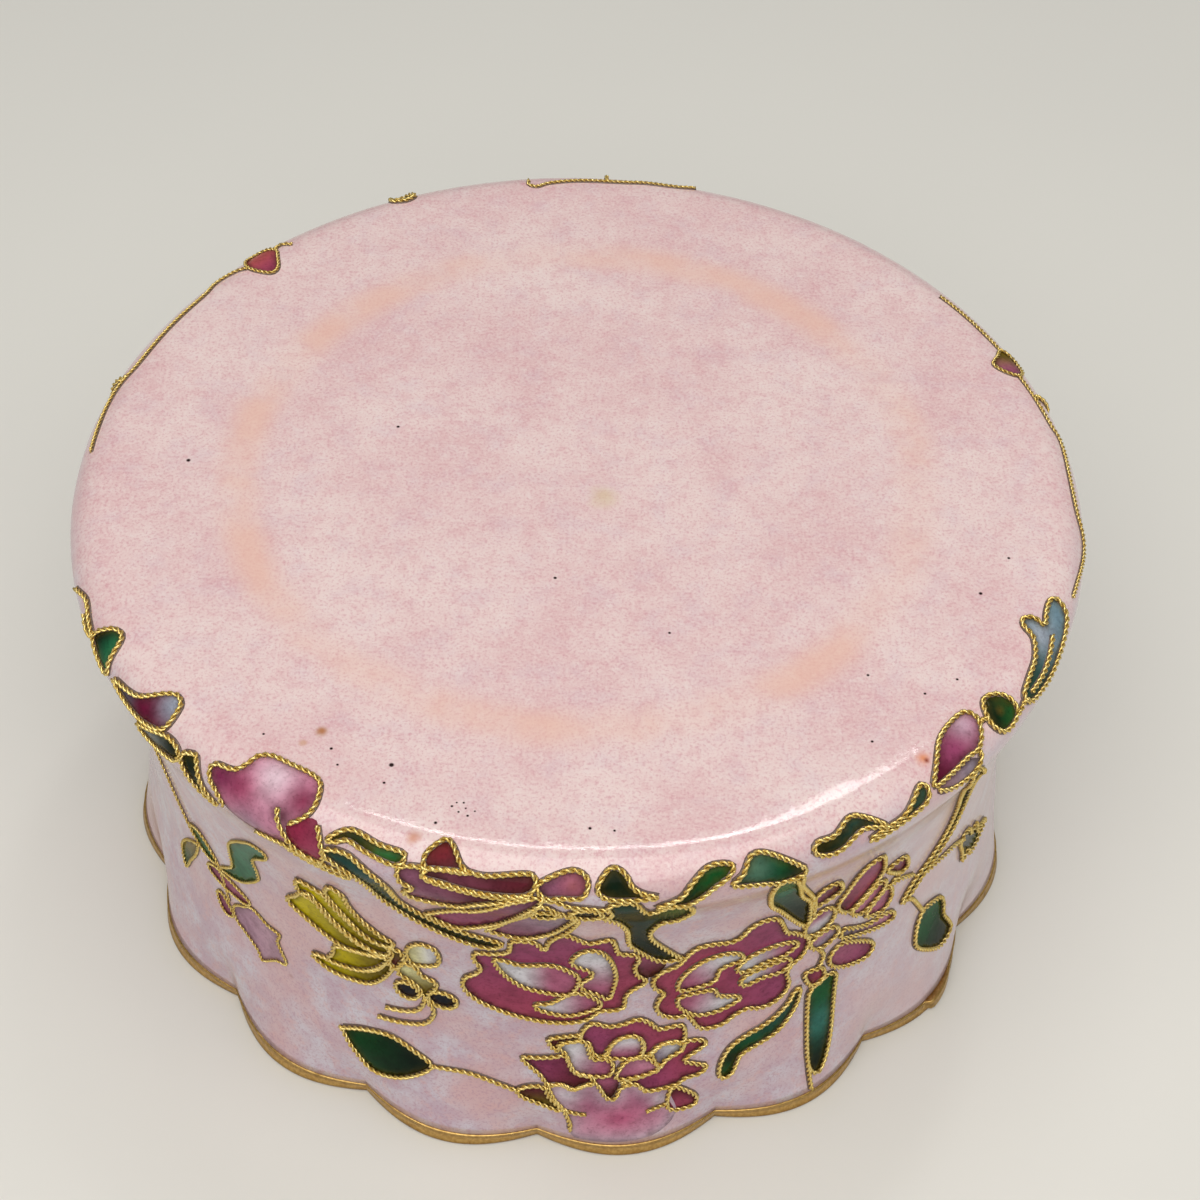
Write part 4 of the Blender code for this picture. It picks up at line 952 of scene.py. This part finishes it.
# Marks on the ground enamel: place in millimetres, radius, colour, strength
STAINS = [
    ((2.3, -3.7, HEIGHT), 2.4, paint(214, 190, 150), 0.6),
    ((-22.3, -34.2, HEIGHT), 0.9, paint(180, 120, 76), 0.95),
    ((-23.8, -35.6, HEIGHT), 0.5, paint(206, 160, 130), 0.7),
    ((12.9, -47.3, HEIGHT), 0.6, paint(210, 120, 130), 0.6),
    ((12.8, -45.6, HEIGHT), 0.5, paint(216, 140, 148), 0.5),
    (on_wall(33.4, 50.5, 0.0), 1.2, paint(226, 138, 84), 0.85),
    (on_wall(33.5, 50.2, 0.0), 0.5, paint(132, 46, 20), 0.95),
    (on_wall(-13.6, 50.2, 0.0), 1.2, paint(196, 124, 90), 0.85),
    (on_wall(-31.0, 15.6, 0.0), 0.7, paint(176, 132, 126), 0.55),
    (on_wall(-29.9, 14.4, 0.0), 0.6, paint(176, 132, 126), 0.5),
]

# Dark specks on the disc: x, y and radius in millimetres
SPECKS = [
    (-15.9, -37.9, 0.225), (-18.3, 5.5, 0.165), (-38.6, 0.0, 0.21), (-2.1, -15.0, 0.165),
    (8.6, -21.7, 0.135), (-27.4, -34.7, 0.12), (-21.3, -36.2, 0.15), (-20.6, -38.0, 0.12),
    (-16.4, -39.9, 0.135), (-11.7, -44.1, 0.15), (-10.4, -42.3, 0.12), (-9.8, -42.9, 0.105),
    (-9.4, -41.9, 0.105), (-9.0, -43.3, 0.12), (-10.0, -41.9, 0.09), (-9.2, -42.5, 0.09),
    (-8.4, -42.8, 0.09), (1.5, -44.4, 0.15), (3.6, -44.6, 0.12), (38.0, -15.9, 0.18),
    (34.7, -26.7, 0.135), (31.6, -28.5, 0.135), (26.4, -34.2, 0.135), (41.2, -11.2, 0.15),
    (26.6, -26.4, 0.135),
]


# Pieces

def shell_piece():
    foot = RIM_HEIGHT + RIM_GAP
    flat = BULGE_RADIUS - EDGE_RADIUS - SHOULDER
    ceiling = HEIGHT - DISC_THICKNESS
    profile = [(r, HEIGHT, r > 0.0) for r in np.linspace(0.0, flat, 24, endpoint=False)]
    profile += [(r, HEIGHT - edge_drop(r), True) for r in np.linspace(flat, BULGE_RADIUS - EDGE_RADIUS, 7)]
    profile += [(*edge_arc(turn), True) for turn in np.linspace(math.pi / 2, 0.0, 13)[1:]]
    for z in np.linspace(HEIGHT - EDGE_RADIUS, foot, 48)[1:]:
        profile.append((float(wall_radius(z)), z, z > 3.0))
    for z in np.linspace(foot, ceiling - INNER_CORNER, 24):
        profile.append((float(wall_radius(z)) - WALL, z, False))
    inner = profile[-1][0] - INNER_CORNER
    for turn in np.linspace(0.0, math.pi / 2, 7)[1:]:
        r = inner + INNER_CORNER * math.cos(turn)
        profile.append((r, ceiling - INNER_CORNER * (1 - math.sin(turn)), False))
    profile += [(r, ceiling, False) for r in np.linspace(inner, 0.0, 8)[1:]]
    build = Build()
    lathe(build, profile, LOBES * STEPS_PER_LOBE)
    build.piece("enamelled_shell", [pink_enamel()], ["box_body"])


def rim_lap(here, angle, row):
    """Swell the band where its ends lap on the right, and roughen its top edge."""
    if row >= LAP_ROWS:
        return here
    u = ((angle + math.pi / 2 + math.pi) % (2 * math.pi) - math.pi) * UNROLL_RADIUS
    swell = 0.0
    if LAP_START < u < LAP_END:
        share = (u - LAP_START) / (LAP_END - LAP_START)
        swell = LAP_SWELL * min(1.0, (u - LAP_START) / LAP_RAMP) * math.cos(share * math.pi / 2)
    bead = 0.0
    if row < BEAD_ROWS:
        strength = BEAD if RAGGED_START < u < RAGGED_END else BEAD / 4
        bead = strength * (noise.noise(here * 1.7) + 0.6 * noise.noise(here * 4.0))
    scale = 1.0 + (swell + bead) / math.hypot(here.x, here.y)
    return Vector((here.x * scale, here.y * scale, here.z + bead + 0.25 * swell * (row < BEAD_ROWS)))


def rim_piece():
    """Band with softened edges and a fine bead along its top."""
    top = RIM_HEIGHT
    outer = RIM_PROUD
    inner = RIM_PROUD - RIM_WIDTH
    section = [(outer - 0.3, top + 0.02), (outer - 0.12, top + 0.08), (outer + 0.02, top),
               (outer, top - 0.14), (outer - 0.1, top - 0.26), (outer - 0.06, 0.5),
               (outer, 0.24), (outer - 0.12, 0.06), (outer - 0.35, 0.0),
               (inner + 0.3, 0.0), (inner, 0.3), (inner, top)]
    build = Build()
    profile = [(float(wall_radius(z)) + dr, z, False) for dr, z in section]
    lathe(build, profile, LOBES * STEPS_PER_LOBE * 2, rim_lap)
    build.piece("gilt_rim", [rim_gilt()], ["rim_band"])


def decorate(name, parts, materials, cells):
    """Ropes of one net as one piece; its enamel goes with the other cells."""
    build = Build()
    for part in parts:
        if part["wired"]:
            rope(build, part["points"], part["closed"], part.get("size", 1.0))
        if "first" in part:
            fill(cells, part)
    build.piece("rope_" + name, materials, ["wire_" + name])


def floor_piece():
    mesh = bpy.data.meshes.new("floor")
    corners = [(-1, -1), (1, -1), (1, 1), (-1, 1)]
    mesh.from_pydata([(FLOOR_REACH * x, FLOOR_REACH * y, 0) for x, y in corners], [], [(0, 1, 2, 3)])
    material, shader, place = start_material("pale_floor")
    surface(shader, mix(grain(place, 60.0), paint(231, 229, 221), paint(227, 225, 218)), 0.75)
    mesh.materials.append(material)
    show("floor", mesh)


def aim(item, place, target, turn):
    """Stand an item at its place, facing the target and turned about its line of sight."""
    facing = (target - place).to_track_quat("-Z", "Y") @ Quaternion((0.0, 0.0, 1.0), turn)
    item.matrix_world = Matrix.LocRotScale(place, facing, None)


def area_light(name, place, target, width, depth, power, color=(1.0, 1.0, 1.0), turn=0.0, mirrored=True):
    data = bpy.data.lights.new(name, "AREA")
    data.shape = "RECTANGLE"
    data.size = width
    data.size_y = depth
    data.energy = power
    data.color = color
    item = show(name, data)
    item.visible_glossy = mirrored
    aim(item, Vector(place), Vector(target), math.radians(turn))


def studio():
    world = bpy.data.worlds.new("soft_room")
    world.use_nodes = True
    backdrop = world.node_tree.nodes["Background"]
    backdrop.inputs["Color"].default_value = (1.0, 0.99, 0.96, 1.0)
    backdrop.inputs["Strength"].default_value = 0.26
    bpy.context.scene.world = world
    bpy.context.scene.view_settings.view_transform = "Standard"
    area_light("front_panel", (-0.07, -0.28, 0.55), (0.0, 0.0, 0.0), 0.66, 0.66, 3.08, (1.0, 0.99, 0.975))
    area_light("corner_panel", (0.17, 0.36, 0.84), (0.0, 0.0, 0.03), 0.08, 0.2, 0.42)
    area_light("edge_panel", (0.0, 0.34, 0.86), (0.0, 0.0, 0.03), 0.32, 0.04, 0.42, turn=-12.0)
    area_light("side_panel", (0.42, -0.1, 0.3), (0.0, 0.0, 0.0), 0.3, 0.3, 0.28, mirrored=False)


def camera():
    data = bpy.data.cameras.new("camera")
    data.sensor_width = 36.0
    data.lens = CAMERA_LENS
    data.clip_start = 0.01
    data.clip_end = 20.0
    item = show("camera", data)
    aim(item, Vector(CAMERA_PLACE) * MM, Vector(CAMERA_AIM) * MM, CAMERA_ROLL)
    bpy.context.scene.camera = item


def main():
    camera()
    studio()
    floor_piece()
    shell_piece()
    rim_piece()
    materials = [twisted_gilt(), dirt_and_shade_by_wire()]
    cells = Build()
    for name, parts in NETS.items():
        decorate(name, parts, materials, cells)
    cells.piece("enamel_cells", [cell_enamel()])


main()
